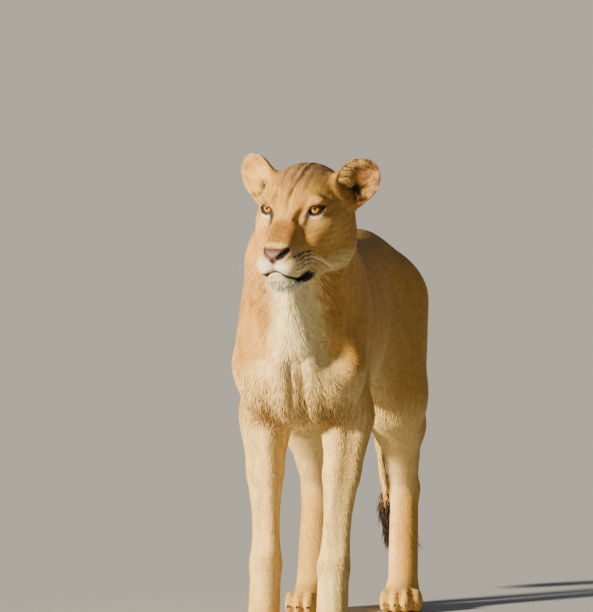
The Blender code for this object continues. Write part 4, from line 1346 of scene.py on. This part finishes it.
def ear_hair(side, word):
    """Pale hairs from the ear's front edge that fan across its hollow, and a darker tuft at its corner."""
    count = EAR_HAIRS[side]
    q = to_head(skin_points)
    ear, _ = on_ears(q)
    inside = (ear > 0.3) & (np.sign(q[:, 0]) == side) & (skin_near["head"] < skin_near["neck"])
    dark = rng.uniform(0, 1, count) < 0.38
    angle = np.radians(np.where(dark, rng.uniform(195, 262, count), rng.uniform(-95, 55, count)))
    share = rng.uniform(0.78, 0.98, count)
    across, up = 0.046 * share * np.cos(angle), 0.040 + 0.052 * share * np.sin(angle)
    place = np.array(EAR_ROOT) + np.stack([across, 0.010 + 0 * across, up], axis=-1) @ EAR_AXES.T
    place[:, 2] += EAR_RISE if side < 0 else 0.0
    place[:, 0] *= side
    root, normal = on_skin(from_head(place), inside)
    fan = np.stack([-np.cos(angle), 0.30 + 0 * angle, 0.55 - 0.6 * np.sin(angle)], axis=-1)
    fan = unit(fan + rng.normal(0, 0.16, (count, 3))) @ EAR_AXES.T
    fan[:, 0] *= side
    way = fan @ HEAD_AXES.T
    pull = rng.normal(0, 0.10, (count, 3)) - normal * 0.10
    length = rng.uniform(0.014, 0.034, count) * np.where(dark, 0.6, 1.0)
    paths = bent(root - normal * 0.001, way, pull, length, 6)
    pale = over(np.tile(np.asarray(CREAM), (count, 1)), GOLD, rng.uniform(0, 1, count) ** 2)
    colour = np.where(dark[:, None], np.asarray(BROWN), pale)
    hair_piece("ear_hair_" + word, paths, rng.uniform(0.00018, 0.00034, count), colour)


def chin_hair():
    """Soft white hair on the chin and along the lower lip, longer than the face's."""
    count = CHIN_HAIRS
    q = to_head(skin_points)
    on_chin = (patch(q, (0, -0.092, -0.128), (0.040, 0.040, 0.024), 0.4) > 0.3) & (skin_normals[:, 2] < 0.35)
    on_chin &= q[:, 2] < mouth_height(both_sides(q)) - 0.004
    chosen = rng.choice(np.flatnonzero(on_chin), count)
    root, normal = skin_points[chosen], skin_normals[chosen]
    root = root + rng.normal(0, 0.0010, (count, 3))
    way = unit(np.array((0, -0.15, -1.0)) @ HEAD_AXES.T + 0.45 * normal + rng.normal(0, 0.14, (count, 3)))
    pull = np.tile((0.0, 0.12, -0.20), (count, 1)) + rng.normal(0, 0.08, (count, 3))
    clump = clouds(root, 0.010, 51)
    length = rng.uniform(0.006, 0.012, count) * (1.0 + 0.55 * clump)
    paths = bent(root - normal * 0.0015, way, pull, length, 5)
    shade = (0.92 + 0.30 * clump) * rng.uniform(0.80, 1.15, count)
    colour = np.minimum(toned(WHITE, (1.0, 0.98, 0.98)) * shade[:, None], PALEST)
    hair_piece("chin_hair", paths, rng.uniform(0.00030, 0.00055, count), colour)


def tail_hair():
    """The dark tuft: long hairs from the tail's last stretch, sweeping down past its end."""
    count = TUFT_HAIRS
    line, _ = tail_line()
    end = (skin_near["tail"] < 0.02) & (skin_points[:, 1] > 0.60) & (skin_points[:, 2] < 0.250)
    chosen = rng.choice(np.flatnonzero(end), count)
    root, normal = skin_points[chosen], skin_normals[chosen]
    along = unit(line[-1] - line[-3])
    way = unit(0.75 * along + 0.40 * normal + rng.normal(0, 0.10, (count, 3)))
    pull = 0.30 * along - 0.22 * normal + rng.normal(0, 0.08, (count, 3))
    length = rng.uniform(0.030, 0.052, count)
    paths = bent(root - normal * 0.002, way, pull, length, 6)
    colour = toned(DARK, rng.uniform(0.8, 2.2, (count, 1))) + toned(BROWN, rng.uniform(0, 0.3, (count, 1)))
    hair_piece("tail_tuft_hair", paths, rng.uniform(0.0008, 0.0014, count), colour)


def whiskers():
    """Stiff white whiskers from the last spots of the rows on both pads, drooping at their ends."""
    on_head = skin_near["head"] < skin_near["neck"]
    q = to_head(skin_points)
    wanted, ways, lengths = [], [], []
    for side in (1, -1):
        for number, (x, y, z) in enumerate(WHISKER_ROOTS):
            row, k = divmod(number, 5)
            if k < FIRST_WHISKER:
                continue
            wanted.append((side * x, y, z))
            ways.append((side * (0.72 + 0.04 * k), -0.30 + 0.18 * k, -0.26 - 0.15 * row))
            lengths.append(0.020 + 0.011 * k)
    root, normal = on_skin(from_head(wanted), on_head & (q[:, 1] < -0.02))
    count = len(wanted)
    way = unit(np.array(ways) + rng.normal(0, 0.07, (count, 3))) @ HEAD_AXES.T + 0.15 * normal
    pull = np.tile((0.0, 0.10, -0.42), (count, 1)) + rng.normal(0, 0.06, (count, 3))
    paths = bent(root - normal * 0.001, way, pull, np.array(lengths) * rng.uniform(0.8, 1.25, count), 12)
    thick = 0.00023 * np.sqrt(np.clip(1.0 - np.linspace(0, 1, 12) ** 2, 0, 1))
    points, faces = strands(paths, np.tile(thick, (count, 1)), 5)
    bristle = plain_finish("whisker", (0.86, 0.81, 0.72), 0.45, 0.1, 300.0)
    made = piece_of("whiskers", points, faces, bristle)


def claws():
    """The tips of the drawn-in claws: short curved horns at the front of each toe."""
    roots, ways, pulls = [], [], []
    for paws, size, splay in ((FORE_PAWS, FORE_PAW, FORE_SPLAY), (HIND_PAWS, HIND_PAW, HIND_SPLAY)):
        for side, (x, y) in paws.items():
            axes = turned(0, -side * splay)
            for place, reach in TOES:
                tip = (place * size[0] * TOE_SPACING, -size[1] * (reach + 0.195), 0.021)
                roots.append(np.array((x, y, 0)) + axes @ tip)
                ways.append(axes @ (0, -0.85, 0.15))
                pulls.append(axes @ (0, 0.10, -0.75))
    roots, ways, pulls = np.array(roots), np.array(ways), np.array(pulls)
    paths = bent(roots, ways, pulls, np.full(len(roots), 0.0100), 9)
    thick = 0.0026 * np.sqrt(np.sin(math.pi * np.linspace(0, 1, 9) ** 0.6).clip(0, 1))
    points, faces = strands(paths, np.tile(thick, (len(roots), 1)), 10)
    horn = plain_finish("claw_horn", (0.055, 0.038, 0.028), 0.35, 0.5, 400.0)
    made = piece_of("claws", points, faces, horn)


for side, word in SIDES:
    ear_hair(side, word)
chin_hair()
tail_hair()
whiskers()
claws()


# ---- camera, floor and light ----
def towards(azimuth, elevation):
    """The way to something seen at an azimuth, from her front towards her left, and an elevation."""
    a, e = math.radians(azimuth), math.radians(elevation)
    return Vector((math.sin(a) * math.cos(e), -math.cos(a) * math.cos(e), math.sin(e)))


def placed(name, data, way, at=(0, 0, 0)):
    """A camera or lamp put in the scene, looking against the way to it."""
    made = bpy.data.objects.new(name, data)
    made.location = at
    made.rotation_euler = way.to_track_quat("Z", "Y").to_euler()
    bpy.context.scene.collection.objects.link(made)
    return made


def front_camera():
    """Camera a little above her, 9 degrees round to her left; its lens is the sensor's share of the view."""
    back = towards(*CAMERA_AT)
    target = Vector(CAMERA_TARGET) - Vector((MIDDLE[0], MIDDLE[1], 0.0))
    camera = placed("camera", bpy.data.cameras.new("camera"), back, target + back * CAMERA_DISTANCE)
    camera.data.sensor_width = SENSOR
    camera.data.lens = SENSOR * CAMERA_DISTANCE / CAMERA_VIEW
    camera.data.clip_end = 500.0
    bpy.context.scene.camera = camera


def lamp(name, at, strength, spread, colour):
    """A far soft lamp."""
    light = bpy.data.lights.new(name, "SUN")
    light.energy, light.angle, light.color = strength, math.radians(spread), colour
    placed(name, light, towards(*at))


def studio():
    """A plain pale floor, an even pale surround and two soft lamps."""
    mesh = bpy.data.meshes.new("floor")
    corners = [(x * FLOOR_HALF, y * FLOOR_HALF, 0) for x, y in ((-1, -1), (1, -1), (1, 1), (-1, 1))]
    mesh.from_pydata(corners, [], [(0, 1, 2, 3)])
    mesh.materials.append(Finish("pale_floor", {"Base Color": FLOOR_COLOUR, "Roughness": 0.9}).material)
    floor = bpy.data.objects.new("floor", mesh)
    bpy.context.scene.collection.objects.link(floor)
    world = bpy.data.worlds.new("surround")
    world.use_nodes = True
    background = world.node_tree.nodes["Background"]
    background.inputs["Color"].default_value = SURROUND
    background.inputs["Strength"].default_value = SURROUND_STRENGTH
    bpy.context.scene.world = world
    lamp("key", KEY_AT, KEY_STRENGTH, KEY_SPREAD, KEY_COLOUR)
    lamp("fill", FILL_AT, FILL_STRENGTH, FILL_SPREAD, FILL_COLOUR)


front_camera()
studio()
